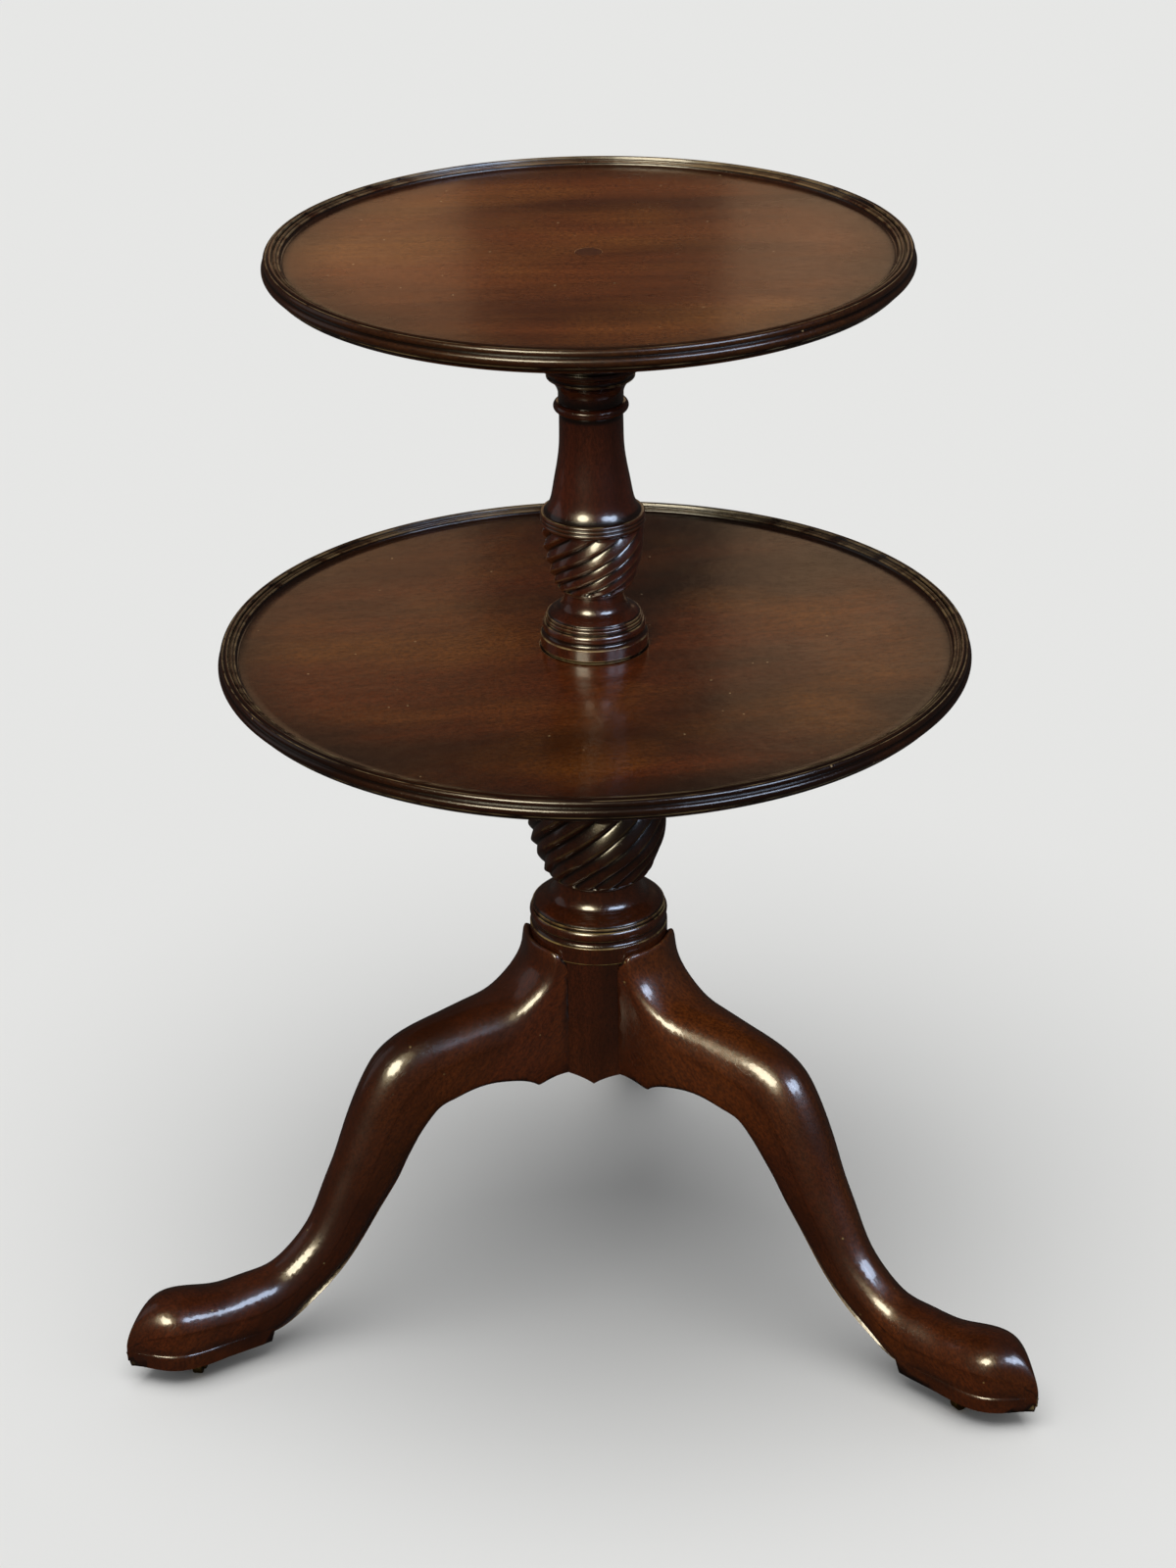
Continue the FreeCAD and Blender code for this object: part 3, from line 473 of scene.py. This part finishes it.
def mark_relief(piece):
    """Adds the attributes crest and groove, from 0 to 1."""
    mesh = piece.data
    places = vertex_values(mesh, "co")
    normals = vertex_values(mesh, "normal")
    ends = numpy.zeros(len(mesh.edges) * 2, dtype=numpy.int32)
    mesh.edges.foreach_get("vertices", ends)
    one, other = ends.reshape(-1, 2).T
    step = places[other] - places[one]
    length_squared = numpy.maximum((step ** 2).sum(axis=1), least_length_squared)
    bend = ((normals[other] - normals[one]) * step).sum(axis=1) / length_squared / full_bend
    for name, values, spread in (("crest", bend, 0.0), ("groove", -groove_gain * bend, groove_spread)):
        sharpest = numpy.zeros(len(mesh.vertices))
        numpy.maximum.at(sharpest, one, values)
        numpy.maximum.at(sharpest, other, values)
        beside = numpy.minimum(sharpest, 1) * spread
        numpy.maximum.at(sharpest, one, beside[other])
        numpy.maximum.at(sharpest, other, beside[one])
        keep_values(mesh, name, numpy.clip(sharpest, 0, 1))


def finished(piece, body, slot, *nodes):
    """Smooths a piece between its arrises, marks its relief and seats it in the frame."""
    only(piece)
    bpy.ops.object.shade_smooth_by_angle(angle=smooth_angle)
    mark_relief(piece)
    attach(piece, body)
    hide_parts(*nodes)
    print(piece.name, "has", len(piece.data.polygons), "faces")
    return piece


# %% [markdown]
# French-polished mahogany: many thin coats of shellac, rubbed on with a pad over stained wood.
# It gives the eye a deep red-brown with darker streaks along the grain, small open pores,
# amber where the stain has faded, and a clear shine over it all. Shellac's IOR is about 1.5.
# The grain runs along each piece, so every variant turns its pattern to its own direction.
# An image of a board would show its seam on a turned piece, while noise stretched along the
# grain runs through the solid as real grain does. Pores are drawn wider than life, to be seen.

# %% Mahogany
shellac_ior = 1.5
coat_roughness = 0.12
worn_roughness = 0.22
grain_waviness = 0.3
bump_strength = 0.4
pore_depth = 0.2             # mm
ripple_depth = 0.6           # mm, drawn deeper than it is, as the light is soft
ripples_per_metre = 60.0
specks_per_metre = 70.0
speck_edge = (0.05, 0.08)    # share of a cell where a chip in the polish ends
speck_choice = (0.72, 0.74)  # only cells with a higher random value have a chip


def mahogany(name, grain, colours, seed, figure=0.5, wear=0.7, shine=0.2, coat=1.0, marks=0.0):
    """Polished mahogany with its grain along a direction. colours: dark, main, warm, worn."""
    dark, main, warm, worn = [linear(colour) for colour in colours]
    dirt_and_shade_black = linear("#0d0604")
    material, tree, output = new_material(name)
    turn = Vector(grain).normalized().rotation_difference(Vector((1, 0, 0))).to_euler()
    elsewhere = (seed, seed * 0.37, -seed * 0.61)
    object_place = add(tree, "TexCoord").outputs["Object"]
    along = add(tree, "Mapping", {"Vector": object_place, "Rotation": turn, "Location": elsewhere}).outputs[0]

    def grains(length, width, detail, low, high, most):
        """A share from 0 to most, in grains about so long and so wide, in millimetres."""
        scale = (1 / (length * MM), 1 / (width * MM), 1 / (width * MM))
        place = add(tree, "Mapping", {"Vector": along, "Scale": scale})
        noise = add(tree, "TexNoise", {"Vector": place.outputs[0], "Scale": 1.0, "Detail": detail,
                                       "Distortion": grain_waviness})
        return add(tree, "MapRange", {"Value": noise.outputs[0], "From Min": low, "From Max": high,
                                      "To Max": most}).outputs[0]

    def relief(attribute, low, high, most):
        """A share from 0 to most, as an attribute of the mesh goes from low to high."""
        value = add(tree, "Attribute", attribute_name=attribute).outputs["Fac"]
        return add(tree, "MapRange", {"Value": value, "From Min": low, "From Max": high,
                                      "To Max": most}).outputs[0]

    pore = grains(length=9, width=0.9, detail=1, low=0.58, high=0.70, most=0.45)
    rub = grains(length=45, width=14, detail=4, low=0.38, high=0.62, most=wear)
    worn_edge = relief("crest", low=0.35, high=0.9, most=1.0)
    worn_rib = relief("carving", low=0.80, high=1.0, most=0.25)
    arris = add(tree, "Math", {0: worn_edge, 1: worn_rib}, operation="MAXIMUM").outputs[0]
    worn_share = add(tree, "Math", {0: arris, 1: rub}, operation="MULTIPLY").outputs[0]
    broad_bands = grains(length=420, width=75, detail=3, low=0.40, high=0.62, most=figure * 1.6)
    faded_bands = grains(length=160, width=110, detail=2, low=0.48, high=0.68, most=figure)
    streaks = grains(length=150, width=6, detail=4, low=0.35, high=0.75, most=0.45)
    flecks = grains(length=3.2, width=1.8, detail=2, low=0.40, high=0.62, most=0.6)
    # Painted shade, partly also wax and stain: the attribute stain_and_shade, the grooves and the low side of
    # each rib darken the wood towards near black.
    layers = [(broad_bands, dark), (faded_bands, warm), (streaks, dark), (flecks, dark), (pore, dirt_and_shade_black),
              (relief("stain_and_shade", low=0.0, high=1.0, most=0.82), dirt_and_shade_black),
              (relief("groove", low=0.05, high=0.6, most=0.92), dirt_and_shade_black),
              (relief("carving", low=0.0, high=-0.9, most=0.85), dirt_and_shade_black),
              (worn_share, worn)]
    if marks:
        cells = add(tree, "TexVoronoi", {"Vector": object_place, "Scale": specks_per_metre,
                                         "Randomness": 1.0})
        near = add(tree, "MapRange", {"Value": cells.outputs["Distance"], "From Min": speck_edge[0],
                                      "From Max": speck_edge[1], "To Min": marks, "To Max": 0.0})
        pick = add(tree, "SeparateColor", {0: cells.outputs["Color"]})
        chosen = add(tree, "MapRange", {"Value": pick.outputs[0], "From Min": speck_choice[0],
                                        "From Max": speck_choice[1]})
        speck = add(tree, "Math", {0: near.outputs[0], 1: chosen.outputs[0]}, operation="MULTIPLY")
        layers.append((speck.outputs[0], worn))
    colour = main
    for share, over in layers:
        colour = add(tree, "Mix", {MIX_FACTOR: share, MIX_A: colour, MIX_B: over},
                     data_type="RGBA").outputs[MIX_RESULT]

    smears = grains(length=90, width=60, detail=3, low=0.35, high=0.70, most=0.08)
    haze = add(tree, "Math", {0: smears, 1: shine}, operation="ADD")
    rough = add(tree, "Math", {0: worn_share, 1: worn_roughness, 2: haze.outputs[0]},
                operation="MULTIPLY_ADD")
    ripple = add(tree, "TexNoise", {"Vector": object_place, "Scale": ripples_per_metre, "Detail": 3.0})
    rippled = add(tree, "Bump", {"Strength": bump_strength, "Distance": ripple_depth * MM,
                                 "Height": ripple.outputs[0]})
    pitted = add(tree, "Bump", {"Strength": bump_strength, "Distance": pore_depth * MM, "Height": pore,
                                "Normal": rippled.outputs[0]}, invert=True)
    polish = add(tree, "BsdfPrincipled", {"Base Color": colour, "Roughness": rough.outputs[0],
                                          "IOR": shellac_ior, "Coat Weight": coat,
                                          "Coat Roughness": coat_roughness, "Coat IOR": shellac_ior,
                                          "Normal": pitted.outputs[0]})
    tree.links.new(polish.outputs[0], output.inputs["Surface"])
    return material


# %% [markdown]
# The same polish over different boards: the two column lengths and the legs are dense, dark wood, and the
# lower column is drawn darker still, as painted shade under the lower tray. The trays are wide figured boards
# that have faded, the upper one drawn lighter than the lower. Each wood reads its own part of the noise, so
# that no two boards are alike.

# %% The boards
column_colours = ("#260f08", "#4f2011", "#6a3219", "#93805a")
# Painted shade: the lower column's colours are darker than the upper one's, for the shade under the lower
# tray.
shaded_pillar_colours = ("#1c0b04", "#411b0b", "#582a10", "#93804f")
leg_colours = ("#1f0b03", "#411b08", "#60300e", "#9c8a5c")
lower_tray_colours = ("#281004", "#56260d", "#744214", "#a08a66")
upper_tray_colours = ("#3c1b0a", "#743c1a", "#8c5824", "#a08a66")
upright = (0, 0, 1)
lower_grain = Matrix.Rotation(math.radians(19), 3, "Z") @ Vector((1, 0, 0))
upper_grain = Matrix.Rotation(math.radians(7), 3, "Z") @ Vector((1, 0, 0))
column_wood = mahogany("french_polished_mahogany_column", upright, column_colours, seed=1.3, wear=0.5)
shaded_pillar_wood = mahogany("french_polished_mahogany_pillar_with_painted_shade", upright, shaded_pillar_colours, seed=2.6, wear=0.5)
boss_wood = mahogany("french_polished_mahogany_boss", (1, 0.2, 0), column_colours, seed=2.1)
lower_tray_wood = mahogany("french_polished_mahogany_lower_tray", lower_grain, lower_tray_colours,
                           seed=4.2, figure=0.6, shine=0.19, coat=0.5, wear=0.4, marks=0.5)
upper_tray_wood = mahogany("french_polished_mahogany_upper_tray", upper_grain, upper_tray_colours,
                           seed=7.9, figure=0.5, shine=0.23, coat=0.5, wear=0.4, marks=0.6)
plug_wood = mahogany("polished_end_grain_plug", upright, upper_tray_colours, seed=3.3, shine=0.3)
print("woods:", [material.name for material in bpy.data.materials if "mahogany" in material.name])

# %% [markdown]
# The metal is out of the way and was never polished. The bracket is forged iron with a dark
# scale, the screws are plain steel gone dull, and the castors are brass that has tarnished to
# a brown olive, brighter where it rubs. Each is a metal with uneven roughness. The hidden and
# the small pieces keep the frame's own meshes and only take their material.

# %% Iron, steel and brass
tarnish_edge = (0.35, 0.70)     # of the noise, from bare to tarnished
gloss_edge = (0.3, 0.7)
bright_share = 0.4
rougher_spots = 0.15
scale_depth = 0.2               # mm


def old_metal(name, clean, tarnished, grain_size, roughness):
    """A metal whose colour and roughness vary over spots of a size in millimetres."""
    material, tree, output = new_material(name)
    place = add(tree, "TexCoord").outputs["Object"]
    spots = add(tree, "TexNoise", {"Vector": place, "Scale": 1 / (grain_size * MM), "Detail": 5.0}).outputs[0]
    share = add(tree, "MapRange", {"Value": spots, "From Min": tarnish_edge[0], "From Max": tarnish_edge[1],
                                   "To Min": 1.0, "To Max": 1.0 - bright_share}).outputs[0]
    colour = add(tree, "Mix", {MIX_FACTOR: share, MIX_A: linear(clean), MIX_B: linear(tarnished)},
                 data_type="RGBA").outputs[MIX_RESULT]
    rough = add(tree, "MapRange", {"Value": spots, "From Min": gloss_edge[0], "From Max": gloss_edge[1],
                                   "To Min": roughness + rougher_spots, "To Max": roughness}).outputs[0]
    bump = add(tree, "Bump", {"Strength": bump_strength, "Distance": scale_depth * MM,
                              "Height": spots}).outputs[0]
    metal = add(tree, "BsdfPrincipled", {"Base Color": colour, "Metallic": 1.0, "Roughness": rough,
                                         "Normal": bump})
    tree.links.new(metal.outputs[0], output.inputs["Surface"])
    return material


iron = old_metal("forged_iron_with_scale", "#5b5854", "#2c2a28", grain_size=4.0, roughness=0.5)
steel = old_metal("dull_steel_screw", "#8d8a86", "#4a4642", grain_size=1.5, roughness=0.38)
brass = old_metal("tarnished_brass", "#a5874c", "#4c3d22", grain_size=2.5, roughness=0.36)
wheel_brass = old_metal("worn_brass_wheel", "#8f7544", "#41351f", grain_size=1.5, roughness=0.42)
dress = {"iron": iron, "steel_screw": steel, "brass": brass, "wheel_brass": wheel_brass,
         "tray_mahogany": boss_wood, "plug_mahogany": plug_wood,
         "column_mahogany": column_wood, "leg_mahogany": column_wood}
slot_of = {part["node"]: part["material_slot"] for part in frame["record"]["subparts"]}
for node_name, node in frame["nodes"].items():
    node.data.materials.clear()
    node.data.materials.append(dress[slot_of[node_name]])
print("dressed", len(frame["nodes"]), "nodes of the frame")

# %% [markdown]
# The column is turned in two lengths. The lower one stands in the legs, carries the lower tray
# on a plain journal, and ends in a peg that the upper one sits on. Both have the same run of
# mouldings: a band, a quirk, a torus and two fillets, then a dome, a neck with a ring, an urn
# carved with a spiral, three reeds, a bell, an astragal, and a hollow under the tray. So both
# share the curves of dome and bell, given as shares of their own width and height.

# %% What both columns share
reed_count = 3
dome_shares = [(0.05, 0.05), (0.16, 0.11), (0.34, 0.17), (0.52, 0.22), (0.68, 0.28), (0.80, 0.38),
               (0.90, 0.54), (0.96, 0.74)]
bell_shares = [(0.26, 0.06), (0.485, 0.175), (0.61, 0.29), (0.82, 0.476), (0.95, 0.64), (0.99, 0.83)]
drum_radius, drum_top = 55.0, 323.0


def bottom_of(node_name):
    """The height of a node's lowest point in the frame, in millimetres."""
    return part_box(node_name)[0].z / MM


def top_of(node_name):
    """The height of a node's highest point in the frame, in millimetres."""
    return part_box(node_name)[1].z / MM


def reeds(line, radius, height, swell, count):
    """So many reeds of one size above each other."""
    line.across(radius)
    for _ in range(count):
        line.reed(height, swell)


def stain_and_shade_by_height(piece, heights, shares):
    """Keeps a darkening that follows the height, as the attribute stain_and_shade: darkest in and around the
    carving.
    """
    levels = vertex_values(piece.data, "co")[:, 2] / MM
    keep_values(piece.data, "stain_and_shade", numpy.interp(levels, heights, shares))


print("the lower column ends at", round(top_of("pillar"), 1), "mm, the upper one at",
      round(top_of("upper_column"), 1), "mm")

# %% [markdown]
# The urns' carving could be painted as bump, but its ribs stand 3 mm proud and notch the
# silhouette, so it is real shape. A carver sets out the ribs as slanting lines and cuts one
# side of each steeply. Here every level of the urn is turned a little further than the one
# below, so that the mesh itself runs along the ribs, and each vertex is then cut in by how far
# it lies from its rib's crest. The attribute carving goes from -1 in a groove to 1 on a crest.

# %% Spiral carving
crest_place = 0.66      # of a rib's width, from its upper groove
crest_sharpness = 7
rib_fullness = 0.85     # under 1 makes a rib rounder


def rib_height(place):
    """Height of a rib, 0 in the groove and 1 on the crest, over its width from 0 to 1."""
    rising = place / crest_place
    falling = (1 - place) / (1 - crest_place)
    softly_lower = -numpy.logaddexp(-crest_sharpness * rising, -crest_sharpness * falling) / crest_sharpness
    return numpy.clip(softly_lower / (1 - math.log(2) / crest_sharpness), 0, 1) ** rib_fullness


def carve(piece, bottom, top, ribs, depth, low_climb, high_climb, fade_in, fade_out):
    """Cuts ribs that climb to the right. Climbs are in mm per degree at the bottom and top."""
    mesh = piece.data
    places = vertex_values(mesh, "co") / MM
    radius = numpy.hypot(places[:, 0], places[:, 1])
    angle = numpy.degrees(numpy.arctan2(places[:, 1], places[:, 0]))
    rise = numpy.clip(places[:, 2] - bottom, 0, top - bottom)
    gain = (high_climb - low_climb) / (top - bottom)
    twist = numpy.log1p(gain * rise / low_climb) / gain
    share = numpy.mod(numpy.round(angle * ribs / 360, 4), 1)
    fade = numpy.clip(rise / fade_in, 0, 1) * numpy.clip((top - bottom - rise) / fade_out, 0, 1)
    on_outside = radius > radius.max() / 3
    inside = (places[:, 2] > bottom) & (places[:, 2] < top) & on_outside
    height = rib_height(share)
    cut = numpy.where(inside, depth * numpy.sqrt(fade) * (1 - height), 0)
    keep_values(mesh, "carving", numpy.where(inside, (2 * height - 1) * fade, 0))
    turned_to = numpy.radians(angle + twist)
    places[:, 0] = (radius - cut) * numpy.cos(turned_to)
    places[:, 1] = (radius - cut) * numpy.sin(turned_to)
    mesh.vertices.foreach_set("co", (places * MM).ravel())
    mesh.update()
    print(piece.name, "has", ribs, "ribs, up to", depth, "mm deep")


# %% [markdown]
# The lower column, from the collar over the legs to the peg. The outline goes up from moulding
# to moulding, as a turner cuts them, and one call for each keeps it open to change. The number
# of steps round it is a multiple of the ribs, so that every rib gets the same vertices.

# %% Lower column
lower_ribs, lower_columns = 16, 288
lower_urn_bottom, lower_urn_top = 383.6, 455.4


def lower_column():
    """The turned part of the lower column. The mouldings are named where they begin."""
    collar, neck, urn, shaft = 56.8, 34.8, 57.1, 36.5
    shoulder, seat = bottom_of("lower_boss"), bottom_of("upper_column")
    journal, peg = 18.0, 13.0
    dome_top, bell_top = 380.2, 511.2
    line = Outline(0, drum_top)
    line.across(collar)
    line.to(collar, 337.6)
    line.to(55.4, 338.6)
    line.arc(54.8, 343.2, -0.7)             # quirk
    line.across(55.2)
    line.reed(8.4, 1.6)                     # torus
    line.across(54.0)
    line.to(54.0, 352.8)
    line.across(54.2)
    line.reed(2.0, 0.6)                     # bead
    line.across(53.6)
    line.curve(dome_shares, neck, dome_top, 44)
    line.across(37.0)
    line.reed(lower_urn_bottom - dome_top, 0.8)
    line.across(41.0)
    urn_shares = [(0.18, 0.036), (0.39, 0.148), (0.595, 0.27), (0.806, 0.387), (0.949, 0.568), (1.0, 0.758)]
    line.curve(urn_shares, urn, lower_urn_top, 88)
    reeds(line, urn, 3.3, 1.1, reed_count)
    line.across(53.9)
    line.curve(bell_shares, shaft, bell_top, 24)
    line.across(shaft + 1)
    line.reed(8.5, 4.5)                     # astragal
    line.across(shaft)
    half = (shoulder - line.here[1]) / 2
    line.arc(46.0, line.here[1] + half, -half / 4)
    line.arc(45.0, shoulder, 1.0)
    line.across(journal)
    line.to(journal, seat)
    line.across(peg)
    line.to(peg, top_of("pillar"))
    line.across(0)
    piece = turned("pillar_turned", line, lower_columns)
    carve(piece, lower_urn_bottom, lower_urn_top, lower_ribs, depth=4.2,
          low_climb=0.66, high_climb=0.78, fade_in=3.0, fade_out=4.0)
    # Painted shade: the urn, which stands under the lower tray, is darkened.
    stain_and_shade_by_height(piece, (375, 390, 470, 480), (0.15, 0.6, 0.6, 0.15))
    return piece


def copy_of(node_name, name):
    """A copy of a node's mesh, with its loose triangles merged and nothing of the frame's on it."""
    copy = frame["nodes"][node_name].copy()
    copy.data = copy.data.copy()
    copy.name = name
    copy.parent = None
    for key in list(copy.keys()):
        del copy[key]
    bpy.context.scene.collection.objects.link(copy)
    only(copy)
    bpy.ops.object.mode_set(mode="EDIT")
    bpy.ops.mesh.select_all(action="SELECT")
    bpy.ops.mesh.remove_doubles(threshold=same_point)
    bpy.ops.object.mode_set(mode="OBJECT")
    copy.data.materials.clear()
    return copy


# %% [markdown]
# The drum under the collar has the legs' dovetail sockets and a scalloped lower edge, which
# come straight from the frame: a copy is cut off level at the collar, and the turned part,
# which starts there, is joined to it. Long triangles on a round side shade unevenly, so the
# drum's side is given the normals of a true cylinder.

# %% Drum and lower column as one piece
def true_cylinder(piece, radius, top):
    """Gives the side below top the normals of a true cylinder, whatever its triangles are like."""
    mesh = piece.data
    near = 0.02
    places = vertex_values(mesh, "co") / MM
    normals = numpy.zeros(len(mesh.loops) * 3)
    mesh.corner_normals.foreach_get("vector", normals)
    normals = normals.reshape(-1, 3)
    for face in mesh.polygons:
        corners = [mesh.loops[i].vertex_index for i in face.loop_indices]
        around = places[corners]
        on_side = numpy.allclose(numpy.hypot(around[:, 0], around[:, 1]), radius, atol=near)
        upright_face = abs(face.normal.z) < 0.5
        if on_side and upright_face and around[:, 2].max() < top + near / 2:
            normals[list(face.loop_indices)] = around * (1, 1, 0) / radius
    mesh.normals_split_custom_set(normals.tolist())


drum = copy_of("pillar", "drum")
bpy.ops.object.mode_set(mode="EDIT")
bpy.ops.mesh.select_all(action="SELECT")
bpy.ops.mesh.bisect(plane_co=(0, 0, drum_top * MM), plane_no=(0, 0, 1), clear_outer=True, use_fill=True)
bpy.ops.object.mode_set(mode="OBJECT")
pillar = lower_column()
only(drum)
pillar.select_set(True)
bpy.context.view_layer.objects.active = pillar
bpy.ops.object.join()
pillar.name = "carved_pillar"
pillar.data.materials.append(shaded_pillar_wood)
finished(pillar, "base", "column_mahogany", "pillar")
true_cylinder(pillar, drum_radius, drum_top)

# %% [markdown]
# The upper column stands on the lower one's peg, through the lower tray. It repeats the lower
# one's mouldings at two thirds of the size, with fewer ribs, and its bell runs up into a long
# shaft. Where the upper tray's boss turns on it, its shoulder and pins follow the frame.

# %% Upper column
upper_ribs, upper_columns = 11, 242
upper_urn_bottom, upper_urn_top = 636.4, 689.6
play = 0.1


def upper_column():
    """The upper column, from its socket to the pin. The mouldings are named where they begin."""
    flange, neck, urn, shaft = 42.8, 23.0, 40.2, 24.9
    foot, shoulder = bottom_of("upper_column"), bottom_of("upper_boss")
    socket, journal, pin = 13.1, 14.0, 8.0
    dome_top, bell_top, neck_of_cup = 633.4, 781.6, 30.0
    line = Outline(0, top_of("pillar") + play)
    line.across(socket)
    line.to(socket, foot)
    line.across(flange - 1.6)
    line.rise(2.3)
    line.to(flange, 587.0)
    line.to(flange, 596.2)
    line.to(41.2, 597.1)
    line.arc(39.6, 599.6, -0.4)             # quirk
    line.reed(7.0, 1.4)                     # torus
    line.across(38.4)
    line.to(38.4, 608.0)
    reeds(line, 38.2, 2.6, 0.6, 1)          # two beads
    reeds(line, 37.1, 2.4, 0.6, 1)
    line.across(36.5)
    line.curve(dome_shares, neck, dome_top, 40)
    line.across(26.4)
    line.reed(upper_urn_bottom - dome_top, 0.7)
    line.across(28.8)
    urn_shares = [(0.22, 0.056), (0.544, 0.24), (0.79, 0.44), (0.956, 0.673), (1.0, 0.84)]
    line.curve(urn_shares, urn, upper_urn_top, 72)
    reeds(line, urn, 3.2, 1.0, reed_count)
    line.across(38.4)
    line.curve(bell_shares, shaft, bell_top, 32)
    line.across(shaft + 1)
    line.reed(8.2, 3.4)                     # astragal
    line.across(25.4)
    line.to(25.4, 797.0)
    line.arc(33.5, 809.2, -1.6)             # hollow
    line.across(34.0)
    line.reed(1.8, 0.5)
    line.across(33.4)
    line.arc(39.0, 818.0, -1.5)             # cavetto
    line.across(40.0)
    line.reed(5.0, 1.0)
    cup_top = shoulder - 5.0
    waist = (line.here[1] + cup_top) / 2
    line.arc(23.5, waist, 4.08)
    line.arc(neck_of_cup, cup_top, -2.54)
    line.to(neck_of_cup, shoulder)
    line.across(journal)
    line.to(journal, bottom_of("upper_tray") - 3 * play)
    line.across(pin)
    line.to(pin, top_of("upper_column"))
    line.across(0)
    piece = turned("upper_column_turned", line, upper_columns)
    carve(piece, upper_urn_bottom, upper_urn_top, upper_ribs, depth=3.6,
          low_climb=0.27, high_climb=0.42, fade_in=2.5, fade_out=3.5)
    # Darker over the foot and the urn of the upper column, and most at the foot.
    stain_and_shade_by_height(piece, (620, 640, 699, 720), (0.62, 0.4, 0.4, 0.0))
    return piece


carved_column = upper_column()
carved_column.name = "carved_upper_column"
carved_column.data.materials.append(column_wood)
finished(carved_column, "base", "column_mahogany", "upper_column")

# %% [markdown]
# Each leg is sawn from a plank and shaped with spokeshave and rasp, so it has no straight
# outline to spin. The frame already holds that shape, smooth to a sixth of a millimetre. Its
# copy is merged and smoothed between the arrises that a hand would leave: the edge against the
# collar, the cusps at the drum and the lip of the sole. Weighting the normals by the size of
# the faces keeps the narrow rounds from showing their triangles in the polish. The grain
# slopes down along the shin, as the plank is cut.

# %% Legs
leg_angles = {"leg_left": -150.0, "leg_right": -30.0, "leg_rear": 90.0}
leg_slope = math.radians(-52)
first_seed = 5.0
for place, (leg_name, angle) in enumerate(leg_angles.items()):
    out = math.radians(angle)
    grain = (math.cos(leg_slope) * math.cos(out), math.cos(leg_slope) * math.sin(out), math.sin(leg_slope))
    wood = mahogany("french_polished_mahogany_" + leg_name, grain, leg_colours, seed=first_seed + place,
                    shine=0.27, wear=0.4, marks=0.3)
    leg = copy_of(leg_name, "cabriole_" + leg_name)
    leg.data.materials.append(wood)
    finished(leg, "base", "leg_mahogany", leg_name)
    leg.modifiers.new("even_shading", "WEIGHTED_NORMAL").keep_sharp = True
    bpy.ops.object.modifier_apply(modifier="even_shading")
    leave_out(no_floor_no_legs, leg)

# %% [markdown]
# A tray is turned from one wide board: dished to leave a rim, and the rim worked with a
# rounded nosing, a bead between two quirks, and a small cove down to the flat. The outline is
# given once, as distances in from the edge and down from the rim, and serves both trays. Rings
# of vertices across the flats keep the shading even, where long triangles would show as slits.
# Rim and underside are drawn darker, and the attribute stain_and_shade says where: under the tray this is
# painted shade, and on the rim and its nosing it is partly painted shade, partly wax and dirt.

# %% Trays
tray_columns = 256
dish_depth = 6.0            # mm, from the rim down to the surface
round_start = 14.0          # mm in from the edge, where the underside turns up
flat_start = 17.2           # mm in from the edge, where the cove meets the surface
rim_darkening_start = 18.0          # mm in from the edge, where the rim begins to darken
rim_darkening_width = 4.0


def tray(name, node, bore, seat_radius, seat_height):
    """A dished tray with a bore, and a flat-bottomed seat sunk into its surface."""
    low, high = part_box(node)
    edge, bottom, rim = high.x / MM, low.z / MM, high.z / MM
    surface = rim - dish_depth
    line = Outline(bore, bottom)
    for share in (0.3, 0.6, 0.9):
        line.across(bore + (edge - round_start - bore) * share)
    line.across(edge - round_start)
    line.arc(edge - 5.8, bottom + 5.5, 1.7)
    line.across(edge - 4.5)
    line.rise(1.8)
    line.arc(edge - 2.9, bottom + 14.0, 2.9)        # nosing
    line.to(edge - 3.7, bottom + 14.5)
    line.arc(edge - 4.5, rim - 0.4, 1.7)            # outer bead
    line.to(edge - 5.3, rim - 1.1)
    line.arc(edge - 8.6, rim, 0.5)                  # top of the rim
    line.to(edge - 9.2, rim - 2.6)
    line.across(edge - 10.0)
    line.arc(edge - 12.8, rim - 2.6, 1.5)           # inner bead
    line.across(edge - 13.4)
    line.rise(0.4)
    line.arc(edge - 14.8, rim - 3.4, 0.7)
    line.arc(edge - flat_start, surface, -0.6)      # cove
    flat = edge - flat_start - seat_radius
    for share in (0.97, 0.8, 0.5, 0.3):
        line.across(seat_radius + flat * share)
    line.across(seat_radius)
    line.to(seat_radius, seat_height)
    line.across(bore)
    piece = turned(name, line, tray_columns, closed=True)
    places = vertex_values(piece.data, "co") / MM
    inwards = edge - numpy.hypot(places[:, 0], places[:, 1])
    # Painted shade: every vertex below the dish's surface is fully darkened, and the rim darkens from the
    # edge inwards, partly as painted shade, partly as wax and dirt.
    under = places[:, 2] < surface - 1
    rim_stain_and_shade = numpy.clip((rim_darkening_start - inwards) / rim_darkening_width, 0, 1)
    keep_values(piece.data, "stain_and_shade", numpy.where(under, 1, rim_stain_and_shade))
    return piece


lower_tray = tray("lower_tray_board", "lower_tray", bore=18.05, seat_radius=43.4, seat_height=584.0)
lower_tray.data.materials.append(lower_tray_wood)
finished(lower_tray, "lower_tray_body", "tray_mahogany", "lower_tray")

well_floor = bottom_of("pivot_washer") - 0.3
upper_tray = tray("upper_tray_board", "upper_tray", bore=8.05, seat_radius=10.1, seat_height=well_floor)
upper_tray.data.materials.append(upper_tray_wood)
finished(upper_tray, "upper_tray_body", "tray_mahogany", "upper_tray")
